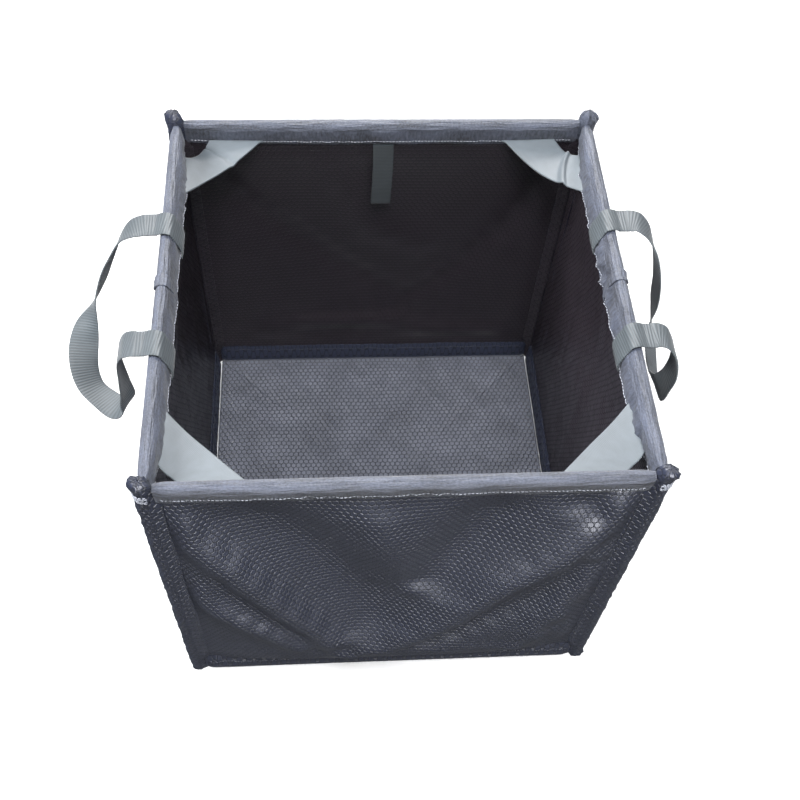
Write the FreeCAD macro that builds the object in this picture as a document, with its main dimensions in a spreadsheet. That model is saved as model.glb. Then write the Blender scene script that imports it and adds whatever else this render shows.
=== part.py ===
import FreeCAD, Part
import math
import os
import Sketcher

# Open-topped rope storage bag: a folding cube of ripstop cloth held square by
# rods in hems. Millimetres, +Z up, +X to the bag's right, front towards -Y.
# The origin is on the ground under the middle of the bag.

DIMENSIONS = [
    ("outer_width", 406.0),
    ("outer_depth", 406.0),
    ("rim_height", 384.0),
    ("ear_height", 10.0),
    ("rod_radius", 4.0),
    ("bore_radius", 4.3),
    ("sleeve_radius", 6.0),
    ("hem_depth", 26.0),
    ("hem_web", 1.5),
    ("wall_thickness", 0.8),
    ("hinge_gap", 0.3),
    ("end_gap", 0.5),
    ("rod_end_gap", 3.0),
    ("webbing_thickness", 1.8),
    ("corner_strap_near", 24.0),
    ("corner_strap_far", 76.0),
    ("corner_strap_drop", 20.0),
    ("handle_width", 25.0),
    ("handle_half_spacing", 65.0),
    ("handle_reach", 92.0),
    ("handle_tilt", 52.0),
    ("handle_corner", 14.0),
    ("tab_gap", 0.3),
    ("neck_length", 9.0),
    ("neck_rise", 4.0),
    ("gear_loop_width", 20.0),
    ("gear_loop_length", 80.0),
    ("gear_loop_layer", 1.5),
    ("gear_loop_bend", 0.6),
    ("floor_thickness", 1.2),
    ("floor_edge_gap", 5.0),
    ("floor_seam_gap", 0.8),
]

doc = FreeCAD.newDocument("rope_storage_bag")
sheet = doc.addObject("Spreadsheet::Sheet", "Dims")
for row, (alias, value) in enumerate(DIMENSIONS, start=1):
    sheet.set("A%d" % row, alias)
    sheet.set("B%d" % row, str(value))
    sheet.setAlias("B%d" % row, alias)
doc.recompute()

X_AXIS = FreeCAD.Vector(1, 0, 0)
Y_AXIS = FreeCAD.Vector(0, 1, 0)
Z_AXIS = FreeCAD.Vector(0, 0, 1)

# Turns that lay a hem's section across its run: the section's +Y is the way
# from the stitch line to the rod, and its +Z is the way along the hem.
ALONG_X_ROD_UP = FreeCAD.Rotation(Y_AXIS, Z_AXIS, X_AXIS, "ZYX")
ALONG_X_ROD_DOWN = FreeCAD.Rotation(-Y_AXIS, -Z_AXIS, X_AXIS, "ZYX")
ALONG_Y_ROD_UP = FreeCAD.Rotation(-X_AXIS, Z_AXIS, Y_AXIS, "ZYX")
ALONG_Y_ROD_DOWN = FreeCAD.Rotation(X_AXIS, -Z_AXIS, Y_AXIS, "ZYX")
UPRIGHT = FreeCAD.Rotation()

subparts = []


def dim(alias):
    """The value of one dimension of the sheet, for a first guess in a sketch."""
    return float(sheet.get(alias))


def place(obj, rotation, x, y, z):
    """Turn an object and bind its position to expressions of the sheet."""
    obj.Placement = FreeCAD.Placement(FreeCAD.Vector(0, 0, 0), rotation)
    obj.setExpression("Placement.Base.x", x)
    obj.setExpression("Placement.Base.y", y)
    obj.setExpression("Placement.Base.z", z)


def keep(obj, label):
    """List an object as a sub-part, named with underscores for its file."""
    obj.Label = label.replace(" ", "_")
    subparts.append(obj)
    return obj


def new_body(label):
    """A PartDesign body listed as a sub-part."""
    return keep(doc.addObject("PartDesign::Body", "Body"), label)


def plane_sketch(body, role):
    """A sketch on one of the body's own origin planes."""
    sketch = doc.addObject("Sketcher::SketchObject", "Sketch")
    body.addObject(sketch)
    plane = [o for o in body.Origin.OriginFeatures if o.Role == role][0]
    sketch.AttachmentSupport = [(plane, "")]
    sketch.MapMode = "FlatFace"
    return sketch


def pad(body, sketch, length, midplane=False):
    """Pad a sketch by an expression of the sheet."""
    feature = doc.addObject("PartDesign::Pad", "Pad")
    body.addObject(feature)
    feature.Profile = sketch
    feature.SideType = "Symmetric" if midplane else "One side"
    feature.setExpression("Length", length)
    body.Tip = feature
    return feature


def bind(sketch, kind, arguments, name, expression):
    """Add one named driving constraint and bind it to the sheet."""
    value = sketch.evalExpression(expression)
    value = float(getattr(value, "Value", value))
    index = sketch.addConstraint(Sketcher.Constraint(kind, *arguments, value))
    sketch.renameConstraint(index, name)
    sketch.setExpression("Constraints." + name, expression)


def bound_polygon(sketch, corners):
    """A closed polygon whose corners are (x, y) pairs of sheet expressions."""
    points = []
    for across, along in corners:
        x = sketch.evalExpression(across)
        y = sketch.evalExpression(along)
        x = float(getattr(x, "Value", x))
        y = float(getattr(y, "Value", y))
        points.append(FreeCAD.Vector(x, y, 0))
    count = len(points)
    for i in range(count):
        start = points[i]
        end = points[(i + 1) % count]
        sketch.addGeometry(Part.LineSegment(start, end), False)
    for i in range(count):
        nxt = (i + 1) % count
        sketch.addConstraint(Sketcher.Constraint("Coincident", i, 2, nxt, 1))
    for i, (across, along) in enumerate(corners):
        if abs(points[i].x) < 1e-9:
            sketch.addConstraint(Sketcher.Constraint("PointOnObject", i, 1, -2))
        else:
            bind(sketch, "DistanceX", (-1, 1, i, 1), "x%d" % i, across)
        if abs(points[i].y) < 1e-9:
            sketch.addConstraint(Sketcher.Constraint("PointOnObject", i, 1, -1))
        else:
            bind(sketch, "DistanceY", (-1, 1, i, 1), "y%d" % i, along)


def hem(label, rotation, length, x, y, z):
    """A rod sleeve: a drop-shaped tube of cloth that narrows to its stitch line."""
    body = new_body(label)
    sketch = plane_sketch(body, "XY_Plane")
    radius = dim("sleeve_radius")
    tail = dim("hem_depth") - radius
    web = dim("hem_web") / 2
    lean = math.atan2(radius - web, tail)
    right = FreeCAD.Vector(radius * math.cos(lean), -radius * math.sin(lean), 0)
    left = FreeCAD.Vector(-right.x, right.y, 0)
    tail_right = FreeCAD.Vector(web, -tail, 0)
    tail_left = FreeCAD.Vector(-web, -tail, 0)
    circle = Part.Circle(FreeCAD.Vector(0, 0, 0), Z_AXIS, radius)
    sketch.addGeometry(Part.ArcOfCircle(circle, -lean, math.pi + lean), False)
    sketch.addGeometry(Part.LineSegment(left, tail_left), False)
    sketch.addGeometry(Part.LineSegment(tail_left, tail_right), False)
    sketch.addGeometry(Part.LineSegment(tail_right, right), False)
    bore = Part.Circle(FreeCAD.Vector(0, 0, 0), Z_AXIS, dim("bore_radius"))
    sketch.addGeometry(bore, False)
    sketch.addConstraint(Sketcher.Constraint("Coincident", 0, 3, -1, 1))
    sketch.addConstraint(Sketcher.Constraint("Coincident", 4, 3, -1, 1))
    sketch.addConstraint(Sketcher.Constraint("Tangent", 0, 2, 1, 1))
    sketch.addConstraint(Sketcher.Constraint("Coincident", 1, 2, 2, 1))
    sketch.addConstraint(Sketcher.Constraint("Coincident", 2, 2, 3, 1))
    sketch.addConstraint(Sketcher.Constraint("Tangent", 3, 2, 0, 1))
    sketch.addConstraint(Sketcher.Constraint("Symmetric", 1, 2, 3, 1, -2))
    bind(sketch, "Radius", (0,), "outer", "Dims.sleeve_radius")
    bind(sketch, "Radius", (4,), "bore", "Dims.bore_radius")
    bind(sketch, "DistanceX", (1, 2, 3, 1), "web", "Dims.hem_web")
    bind(sketch, "DistanceY", (1, 2, -1, 1), "tail", "Dims.hem_depth - Dims.sleeve_radius")
    pad(body, sketch, length)
    place(body, rotation, x, y, z)
    return body


def post_sleeve(label, x, y):
    """An upright corner sleeve: a round tube of cloth with an open end above the rim."""
    body = new_body(label)
    sketch = plane_sketch(body, "XY_Plane")
    for name, alias in (("outer", "sleeve_radius"), ("bore", "bore_radius")):
        circle = Part.Circle(FreeCAD.Vector(0, 0, 0), Z_AXIS, dim(alias))
        index = sketch.addGeometry(circle, False)
        sketch.addConstraint(Sketcher.Constraint("Coincident", index, 3, -1, 1))
        bind(sketch, "Radius", (index,), name, "Dims." + alias)
    pad(body, sketch, "Dims.rim_height + Dims.ear_height")
    place(body, UPRIGHT, x, y, "0")
    return body


def rod(label, rotation, length, x, y, z):
    """A fibreglass rod."""
    obj = keep(doc.addObject("Part::Cylinder", "Rod"), label)
    obj.setExpression("Radius", "Dims.rod_radius")
    obj.setExpression("Height", length)
    place(obj, rotation, x, y, z)
    return obj


def plate(label, length, width, height, x, y, z):
    """A flat rectangular panel."""
    obj = keep(doc.addObject("Part::Box", "Plate"), label)
    obj.setExpression("Length", length)
    obj.setExpression("Width", width)
    obj.setExpression("Height", height)
    place(obj, UPRIGHT, x, y, z)
    return obj


def bent_tab(label, side, y):
    """A webbing end that climbs the inside of a side rim and bends over its top."""
    body = new_body(label)
    sketch = plane_sketch(body, "XZ_Plane")
    inner = "(Dims.sleeve_radius + Dims.tab_gap)"
    outer = "(Dims.sleeve_radius + Dims.tab_gap + Dims.webbing_thickness)"
    small = dim("sleeve_radius") + dim("tab_gap")
    large = small + dim("webbing_thickness")
    foot = dim("hem_depth") - dim("sleeve_radius")
    # the foot is on the bag's inner side, and the free end is on its outer side
    inside = -side
    centre = FreeCAD.Vector(0, 0, 0)
    for radius in (large, small):
        circle = Part.Circle(centre, Z_AXIS, radius)
        sketch.addGeometry(Part.ArcOfCircle(circle, 0.0, math.pi), False)
    top_outer = FreeCAD.Vector(inside * large, 0, 0)
    top_inner = FreeCAD.Vector(inside * small, 0, 0)
    low_outer = FreeCAD.Vector(inside * large, -foot, 0)
    low_inner = FreeCAD.Vector(inside * small, -foot, 0)
    free_outer = FreeCAD.Vector(-inside * large, 0, 0)
    free_inner = FreeCAD.Vector(-inside * small, 0, 0)
    sketch.addGeometry(Part.LineSegment(top_outer, low_outer), False)
    sketch.addGeometry(Part.LineSegment(low_outer, low_inner), False)
    sketch.addGeometry(Part.LineSegment(low_inner, top_inner), False)
    sketch.addGeometry(Part.LineSegment(free_outer, free_inner), False)
    # an arc's start is at angle 0 (+X) and its end at angle pi (-X)
    inside_end = 1 if inside > 0 else 2
    free_end = 2 if inside > 0 else 1
    sketch.addConstraint(Sketcher.Constraint("Coincident", 0, 3, -1, 1))
    sketch.addConstraint(Sketcher.Constraint("Coincident", 1, 3, -1, 1))
    sketch.addConstraint(Sketcher.Constraint("Coincident", 0, inside_end, 2, 1))
    sketch.addConstraint(Sketcher.Constraint("Coincident", 2, 2, 3, 1))
    sketch.addConstraint(Sketcher.Constraint("Coincident", 3, 2, 4, 1))
    sketch.addConstraint(Sketcher.Constraint("Coincident", 4, 2, 1, inside_end))
    sketch.addConstraint(Sketcher.Constraint("Coincident", 0, free_end, 5, 1))
    sketch.addConstraint(Sketcher.Constraint("Coincident", 5, 2, 1, free_end))
    sketch.addConstraint(Sketcher.Constraint("Vertical", 2))
    sketch.addConstraint(Sketcher.Constraint("Horizontal", 3))
    sketch.addConstraint(Sketcher.Constraint("Vertical", 4))
    sketch.addConstraint(Sketcher.Constraint("PointOnObject", 2, 1, -1))
    sketch.addConstraint(Sketcher.Constraint("PointOnObject", 5, 1, -1))
    sketch.addConstraint(Sketcher.Constraint("Horizontal", 5))
    bind(sketch, "Radius", (0,), "outer", outer)
    bind(sketch, "Radius", (1,), "inner", inner)
    bind(sketch, "DistanceY", (3, 1, -1, 1), "foot", "Dims.hem_depth - Dims.sleeve_radius")
    pad(body, sketch, "Dims.handle_width", midplane=True)
    place(body, UPRIGHT, half_x(side), y, top_axis)
    return body


def half_x(side):
    """The hem axis of the right (+1) or left (-1) side, as an expression."""
    sign = "" if side > 0 else "-"
    return sign + "(Dims.outer_width / 2 - Dims.sleeve_radius)"


def half_y(end):
    """The hem axis of the back (+1) or front (-1), as an expression."""
    sign = "" if end > 0 else "-"
    return sign + "(Dims.outer_depth / 2 - Dims.sleeve_radius)"


top_axis = "Dims.rim_height - Dims.sleeve_radius"
low_axis = "Dims.sleeve_radius"
inner_x = "(Dims.outer_width / 2 - 2 * Dims.sleeve_radius)"
inner_y = "(Dims.outer_depth / 2 - 2 * Dims.sleeve_radius)"
cross_run = "2 * %s - 2 * Dims.end_gap" % inner_x
cross_start = "-%s + Dims.end_gap" % inner_x
half_run = "%s - 2 * Dims.end_gap" % inner_y
wall_run = "Dims.rim_height - 2 * Dims.hem_depth"

# front and back frames: a wall, two hems, two corner sleeves and their rods
for end, name in ((-1, "front"), (1, "back")):
    y = half_y(end)
    wall_y = "%s - Dims.wall_thickness / 2" % y
    plate(
        name + " wall",
        cross_run,
        "Dims.wall_thickness",
        wall_run,
        cross_start,
        wall_y,
        "Dims.hem_depth",
    )
    hem(name + " rim sleeve", ALONG_X_ROD_UP, cross_run, cross_start, y, top_axis)
    hem(name + " bottom sleeve", ALONG_X_ROD_DOWN, cross_run, cross_start, y, low_axis)
    rod_run = cross_run + " - 2 * Dims.rod_end_gap"
    rod_start = cross_start + " + Dims.rod_end_gap"
    rod(name + " rim rod", ALONG_X_ROD_UP, rod_run, rod_start, y, top_axis)
    rod(name + " bottom rod", ALONG_X_ROD_UP, rod_run, rod_start, y, low_axis)
    for side, word in ((-1, "left"), (1, "right")):
        x = half_x(side)
        post_sleeve("%s %s corner sleeve" % (name, word), x, y)
        rod(
            "%s %s corner rod" % (name, word),
            UPRIGHT,
            "Dims.rim_height - 2 * Dims.rod_end_gap",
            x,
            y,
            "Dims.rod_end_gap",
        )

# the four side halves, which meet at the fold in the middle of each side
for side, word in ((-1, "left"), (1, "right")):
    x = half_x(side)
    wall_x = "%s - Dims.wall_thickness / 2" % x
    for end, name in ((-1, "front"), (1, "back")):
        label = "%s %s half" % (word, name)
        start = "Dims.end_gap" if end > 0 else "-%s + Dims.end_gap" % inner_y
        plate(
            label + " wall",
            "Dims.wall_thickness",
            half_run,
            wall_run,
            wall_x,
            start,
            "Dims.hem_depth",
        )
        hem(label + " rim sleeve", ALONG_Y_ROD_UP, half_run, x, start, top_axis)
        hem(label + " bottom sleeve", ALONG_Y_ROD_DOWN, half_run, x, start, low_axis)
        rod_run = half_run + " - 2 * Dims.rod_end_gap"
        rod_start = start + " + Dims.rod_end_gap"
        rod(label + " rim rod", ALONG_Y_ROD_UP, rod_run, x, rod_start, top_axis)
        rod(label + " bottom rod", ALONG_Y_ROD_UP, rod_run, x, rod_start, low_axis)

# corner straps: webbing sewn across each inside corner just under the rim
for turn, (end, side) in enumerate(((-1, -1), (-1, 1), (1, 1), (1, -1))):
    label = "%s %s corner strap" % (
        "front" if end < 0 else "back",
        "left" if side < 0 else "right",
    )
    body = new_body(label)
    sketch = plane_sketch(body, "XY_Plane")
    bound_polygon(
        sketch,
        (
            ("Dims.corner_strap_near", "Dims.hinge_gap"),
            ("Dims.corner_strap_far", "Dims.hinge_gap"),
            ("Dims.hinge_gap", "Dims.corner_strap_far"),
            ("Dims.hinge_gap", "Dims.corner_strap_near"),
        ),
    )
    pad(body, sketch, "Dims.webbing_thickness")
    place(
        body,
        FreeCAD.Rotation(Z_AXIS, 90 * turn),
        ("" if side > 0 else "-") + inner_x,
        ("" if end > 0 else "-") + inner_y,
        "Dims.rim_height - Dims.corner_strap_drop",
    )

# handles: a tab over each half rim, a short neck and a flat drooping loop
tab_out = "(Dims.outer_width / 2 + Dims.tab_gap + Dims.webbing_thickness)"
for side, word in ((-1, "left"), (1, "right")):
    sign = "" if side > 0 else "-"
    bent_tab(word + " handle front tab", side, "-Dims.handle_half_spacing")
    bent_tab(word + " handle back tab", side, "Dims.handle_half_spacing")
    neck_x = tab_out + " + Dims.hinge_gap"
    if side < 0:
        neck_x = "-(%s + Dims.neck_length)" % neck_x
    plate(
        word + " handle neck",
        "Dims.neck_length",
        "Dims.handle_width",
        "Dims.webbing_thickness",
        neck_x,
        "-Dims.handle_half_spacing - Dims.handle_width / 2",
        top_axis + " + Dims.neck_rise",
    )
    body = new_body(word + " handle loop")
    sketch = plane_sketch(body, "XY_Plane")
    outer = "(Dims.handle_half_spacing + Dims.handle_width / 2)"
    inner = "(Dims.handle_half_spacing - Dims.handle_width / 2)"
    far = "Dims.handle_reach"
    near_far = "(Dims.handle_reach - Dims.handle_width)"
    # a small first gap keeps the loop clear of its neck while it swings
    first = "2 * Dims.webbing_thickness"
    bound_polygon(
        sketch,
        (
            (first, "-" + outer),
            (far, "-" + outer),
            (far, outer),
            (first, outer),
            (first, inner),
            (near_far, inner),
            (near_far, "-" + inner),
            (first, "-" + inner),
        ),
    )
    slab = pad(body, sketch, "Dims.webbing_thickness", midplane=True)
    doc.recompute()
    far_edges = []
    for number, edge in enumerate(slab.Shape.Edges, start=1):
        middle = edge.CenterOfMass
        upright = abs(edge.tangentAt(edge.FirstParameter).z) > 0.99
        if upright and middle.x > dim("handle_reach") - dim("handle_width") - 1:
            far_edges.append("Edge%d" % number)
    fillet = doc.addObject("PartDesign::Fillet", "Fillet")
    body.addObject(fillet)
    fillet.Base = (slab, far_edges)
    fillet.setExpression("Radius", "Dims.handle_corner")
    body.Tip = fillet
    turn = FreeCAD.Rotation(Y_AXIS, dim("handle_tilt"))
    if side < 0:
        turn = FreeCAD.Rotation(Z_AXIS, 180) * turn
    place(
        body,
        turn,
        "%s(%s + Dims.hinge_gap + Dims.neck_length)" % (sign, tab_out),
        "0",
        top_axis + " + Dims.neck_rise + Dims.webbing_thickness / 2",
    )

# gear loop: webbing doubled back on itself, sewn under the back rim's stitch line
body = new_body("gear loop")
sketch = plane_sketch(body, "YZ_Plane")
layer = dim("gear_loop_layer")
bend = dim("gear_loop_bend")
wide = layer + bend
drop = dim("gear_loop_length") - wide
centre = FreeCAD.Vector(0, -drop, 0)
sketch.addGeometry(
    Part.ArcOfCircle(Part.Circle(centre, Z_AXIS, wide), math.pi, 2 * math.pi), False
)
sketch.addGeometry(
    Part.ArcOfCircle(Part.Circle(centre, Z_AXIS, bend), math.pi, 2 * math.pi), False
)
corners = [
    (-wide, -drop, -wide, 0),
    (-wide, 0, -bend, 0),
    (-bend, 0, -bend, -drop),
    (wide, -drop, wide, 0),
    (wide, 0, bend, 0),
    (bend, 0, bend, -drop),
]
for x1, y1, x2, y2 in corners:
    start = FreeCAD.Vector(x1, y1, 0)
    end = FreeCAD.Vector(x2, y2, 0)
    sketch.addGeometry(Part.LineSegment(start, end), False)
for first_line, first_end, second_line, second_end in (
    (0, 1, 2, 1),
    (2, 2, 3, 1),
    (3, 2, 4, 1),
    (4, 2, 1, 1),
    (0, 2, 5, 1),
    (5, 2, 6, 1),
    (6, 2, 7, 1),
    (7, 2, 1, 2),
):
    sketch.addConstraint(
        Sketcher.Constraint("Coincident", first_line, first_end, second_line, second_end)
    )
for line in (2, 4, 5, 7):
    sketch.addConstraint(Sketcher.Constraint("Vertical", line))
for line in (3, 6):
    sketch.addConstraint(Sketcher.Constraint("Horizontal", line))
    sketch.addConstraint(Sketcher.Constraint("PointOnObject", line, 1, -1))
sketch.addConstraint(Sketcher.Constraint("PointOnObject", 0, 3, -2))
sketch.addConstraint(Sketcher.Constraint("Coincident", 0, 3, 1, 3))
sketch.addConstraint(Sketcher.Constraint("Horizontal", 0, 1, 0, 3))
sketch.addConstraint(Sketcher.Constraint("Horizontal", 0, 2, 0, 3))
bind(sketch, "Radius", (0,), "outer", "Dims.gear_loop_layer + Dims.gear_loop_bend")
bind(sketch, "Radius", (1,), "inner", "Dims.gear_loop_bend")
bind(
    sketch,
    "DistanceY",
    (0, 3, -1, 1),
    "drop",
    "Dims.gear_loop_length - Dims.gear_loop_layer - Dims.gear_loop_bend",
)
pad(body, sketch, "Dims.gear_loop_width", midplane=True)
gear_y = (
    "Dims.outer_depth / 2 - Dims.sleeve_radius - Dims.wall_thickness / 2"
    " - Dims.hinge_gap - Dims.gear_loop_layer - Dims.gear_loop_bend"
)
place(body, UPRIGHT, "0", gear_y, "Dims.rim_height - Dims.hem_depth - Dims.hinge_gap")

# floor: six triangles that meet in the middle, like the creases of the folded bag
front_x = inner_x + " - Dims.floor_edge_gap"
for end, name in ((-1, "front"), (1, "back")):
    body = new_body("floor %s panel" % name)
    sketch = plane_sketch(body, "XY_Plane")
    bound_polygon(
        sketch,
        (
            ("-(%s - Dims.floor_edge_gap)" % front_x, "Dims.floor_edge_gap"),
            ("(%s - Dims.floor_edge_gap)" % front_x, "Dims.floor_edge_gap"),
            ("0", "%s - Dims.floor_seam_gap" % inner_y),
        ),
    )
    pad(body, sketch, "Dims.floor_thickness")
    place(
        body,
        FreeCAD.Rotation(Z_AXIS, 0 if end < 0 else 180),
        "0",
        ("" if end > 0 else "-") + inner_y,
        low_axis,
    )
for side, word in ((-1, "left"), (1, "right")):
    for end, name in ((-1, "front"), (1, "back")):
        body = new_body("floor %s %s panel" % (word, name))
        sketch = plane_sketch(body, "XY_Plane")
        flip = "-" if side * end > 0 else ""
        bound_polygon(
            sketch,
            (
                ("Dims.floor_edge_gap", flip + "Dims.floor_seam_gap"),
                (
                    "%s - 3 * Dims.floor_seam_gap" % inner_x,
                    flip + "Dims.floor_seam_gap",
                ),
                (
                    "Dims.floor_edge_gap",
                    flip
                    + "(%s - Dims.floor_edge_gap - 3 * Dims.floor_seam_gap)" % inner_y,
                ),
            ),
        )
        pad(body, sketch, "Dims.floor_thickness")
        # drawn for the left back quarter, and turned half round for the right side
        place(
            body,
            FreeCAD.Rotation(Z_AXIS, 0 if side < 0 else 180),
            ("" if side > 0 else "-") + inner_x,
            "0",
            low_axis,
        )

doc.recompute()

for obj in doc.Objects:
    state = set(obj.State)
    if state & {"Invalid", "Error"}:
        raise RuntimeError("%s is %s" % (obj.Label, sorted(state)))
for obj in subparts:
    if obj.Shape.isNull() or not obj.Shape.isValid():
        raise RuntimeError("%s has no valid shape" % obj.Label)

os.makedirs("parts", exist_ok=True)
for obj in subparts:
    obj.Shape.exportStep("parts/%s.step" % obj.Label)
print("wrote %d sub-parts" % len(subparts))
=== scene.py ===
import bpy
import numpy as np
from bpy.props import FloatProperty, FloatVectorProperty, PointerProperty
from bpy.types import Operator, Panel, PropertyGroup
from mathutils import Matrix, Vector


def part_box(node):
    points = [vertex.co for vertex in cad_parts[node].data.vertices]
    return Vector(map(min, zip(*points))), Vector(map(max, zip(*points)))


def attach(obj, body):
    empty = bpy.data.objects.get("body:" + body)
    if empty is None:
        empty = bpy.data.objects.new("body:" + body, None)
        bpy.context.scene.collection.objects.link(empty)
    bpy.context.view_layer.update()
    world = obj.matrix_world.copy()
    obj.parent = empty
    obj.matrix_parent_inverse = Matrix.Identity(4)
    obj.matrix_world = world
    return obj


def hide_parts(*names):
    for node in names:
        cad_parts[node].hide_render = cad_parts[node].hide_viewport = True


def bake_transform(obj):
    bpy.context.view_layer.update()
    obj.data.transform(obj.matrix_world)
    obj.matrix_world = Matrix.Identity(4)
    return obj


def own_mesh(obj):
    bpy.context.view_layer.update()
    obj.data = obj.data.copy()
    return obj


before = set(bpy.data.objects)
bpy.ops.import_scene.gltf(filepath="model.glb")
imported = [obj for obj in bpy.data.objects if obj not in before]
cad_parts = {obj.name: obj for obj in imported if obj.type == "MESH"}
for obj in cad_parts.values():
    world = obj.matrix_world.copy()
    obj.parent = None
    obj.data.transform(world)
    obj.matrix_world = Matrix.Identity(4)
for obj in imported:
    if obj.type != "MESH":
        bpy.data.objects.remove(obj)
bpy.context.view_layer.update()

bl_info = {
    "name": "Folding rope bag",
    "version": (1, 0, 0),
    "blender": (4, 5, 0),
    "location": "View3D > Sidebar > Rope bag",
    "description": "Square open bag of embossed ripstop held out by rods in its hems",
    "category": "Add Mesh",
}

# ---------------------------------------------------------------- sizes, in mm


def corners(node):
    """Lowest and highest corner of a frame node, in mm."""
    return [np.array(corner) * 1000 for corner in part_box(node)]


def middle(node):
    """Centre of a frame node's box, in mm."""
    low, high = corners(node)
    return (low + high) / 2


WALL = -middle("front_wall")[1]
SEAM_LOW, SEAM_HIGH = corners("front_wall")[0][2], corners("front_wall")[1][2]
RIM = middle("front_rim_rod")[2]
BASE = middle("front_bottom_rod")[2]
POST = middle("front_right_corner_rod")[0]
HEM_END = corners("front_rim_sleeve")[1][0]
SLEEVE = (corners("front_rim_sleeve")[1][1] - corners("front_rim_sleeve")[0][1]) / 2
POST_TOP = corners("front_left_corner_sleeve")[1][2]
STRAP_Z = middle("front_left_corner_strap")[2]
TAB_Y = -middle("left_handle_front_tab")[1]
NECK_IN, NECK_OUT = (
    corners("right_handle_neck")[0][0], corners("right_handle_neck")[1][0]
)
NECK_Z = middle("right_handle_neck")[2]
GEAR_LOW, GEAR_HIGH = corners("gear_loop")
FLOOR_Z = middle("floor_front_panel")[2]
# half the width of the front and back cloth between the corner sleeves, in mm
CLOTH_END = 186.0
# how far cloth runs past its stitch lines into a hem or a corner sleeve, in mm
LAP, SIDE_LAP = 2.0, 1.0
SIDES = {"left": -1, "right": 1}
# how far the seam under each rim hem is pulled into the bag, in mm
LEAN = {"front": 0.0, "back": 2.5, "left": 8.0, "right": 8.5}
ENDS = {"front": -1, "back": 1}


def linear(code):
    """sRGB hex to linear RGBA."""
    s = np.array([int(code[i : i + 2], 16) / 255 for i in (1, 3, 5)])
    return (*np.where(s <= 0.04045, s / 12.92, ((s + 0.055) / 1.055) ** 2.4), 1.0)


def length(name, description, default):
    return FloatProperty(
        name=name, description=description, default=default, unit="LENGTH"
    )


def colour(name, description, code):
    return FloatVectorProperty(
        name=name,
        description=description,
        default=linear(code),
        size=4,
        min=0,
        max=1,
        subtype="COLOR",
    )


class BagSizes(PropertyGroup):
    cloth: length("Cloth", "Thickness of the wall cloth", 0.0008)
    front_belly: length("Front belly", "How far the slack front bulges", 0.014)
    back_belly: length("Back belly", "How far the slack back bulges", 0.012)
    side_belly: length("Side belly", "How far the side walls wander", 0.005)
    hem_crease: length("Hem crease", "Height of the creases in the hems", 0.0021)
    webbing: length("Webbing", "Thickness of the webbing", 0.0017)
    strap_sag: length("Strap sag", "How far a slack corner strap hangs", 0.012)
    stitch: length("Stitch pitch", "Distance from stitch to stitch", 0.0032)
    pad_pitch: length("Pad pitch", "Distance between pressed hexagons", 0.0058)


class BagColours(PropertyGroup):
    # the wall, lining and floor pad colours are lighter than their line colours: a
    # painted glint on the pads and painted shade in the pressed lines, over the real
    # pressed pattern
    wall: colour("Wall", "Outside of the embossed wall cloth", "#34394c")
    wall_line_with_painted_shade: colour("Wall line", "Pressed lines round the pads", "#232734")
    lining: colour("Lining", "Coated inner face of the walls", "#302a31")
    lining_line_with_painted_shade: colour("Lining line", "Pressed lines seen from inside", "#1f1b20")
    hem: colour("Hem", "Rim hem cloth, light threads", "#5f6679")
    hem_dark: colour("Hem dark", "Rim hem cloth, dark threads", "#252934")
    # the floor's pads are much lighter than its lines: the strongest painted glint on
    # the pads and painted shade in the lines
    floor: colour("Floor", "Floor cloth pads", "#7c808c")
    floor_line_with_painted_shade: colour("Floor line", "Floor cloth lines", "#33353e")
    webbing: colour("Webbing", "Corner straps", "#6c757c")
    handle: colour("Handle", "Handle webbing", "#50595f")
    dark_webbing: colour("Dark webbing", "Gear loop", "#394045")
    thread: colour("Thread", "Sewing thread of the rim", "#a9adb8")
    dark_thread: colour("Dark thread", "Sewing thread of the walls", "#4a4d57")
    rod: colour("Rod", "Fibreglass rods", "#2a2b2d")
    ground: colour("Ground", "Floor under the bag", "#f4f4f4")


def sizes():
    return bpy.context.scene.rope_bag_sizes


def colours():
    return bpy.context.scene.rope_bag_colours


# -------------------------------------------------------------------- shaping


def noise(u, v, seed):
    """Random heights from 0 to 1 at whole numbers of u and v, eased between them."""
    table = np.random.default_rng(seed).random((64, 64))
    iu, iv = np.floor(u).astype(int), np.floor(v).astype(int)
    fu, fv = u - iu, v - iv
    fu, fv = fu * fu * (3 - 2 * fu), fv * fv * (3 - 2 * fv)
    iu, iv, ju, jv = iu % 64, iv % 64, (iu + 1) % 64, (iv + 1) % 64
    low = table[iu, iv] * (1 - fu) + table[ju, iv] * fu
    high = table[iu, jv] * (1 - fu) + table[ju, jv] * fu
    return low * (1 - fv) + high * fv


def crumple(u, v, seed):
    """Three layers of folded noise: 1 - |2n - 1| gives sharp crests, each layer half as
    wide and half as high as the last; runs from about -0.5 to 0.5."""
    total = 0
    for layer in range(3):
        scale = 2**layer
        n = noise(u * scale + 7.3 * layer, v * scale + 3.1 * layer, seed + layer)
        total = total + (1 - np.abs(2 * n - 1)) / scale
    return total / 1.75 - 0.5


def ease(x, low, high):
    """0 below low, 1 above high, 3t^2 - 2t^3 between."""
    t = np.clip((x - low) / (high - low), 0, 1)
    return t * t * (3 - 2 * t)


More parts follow.
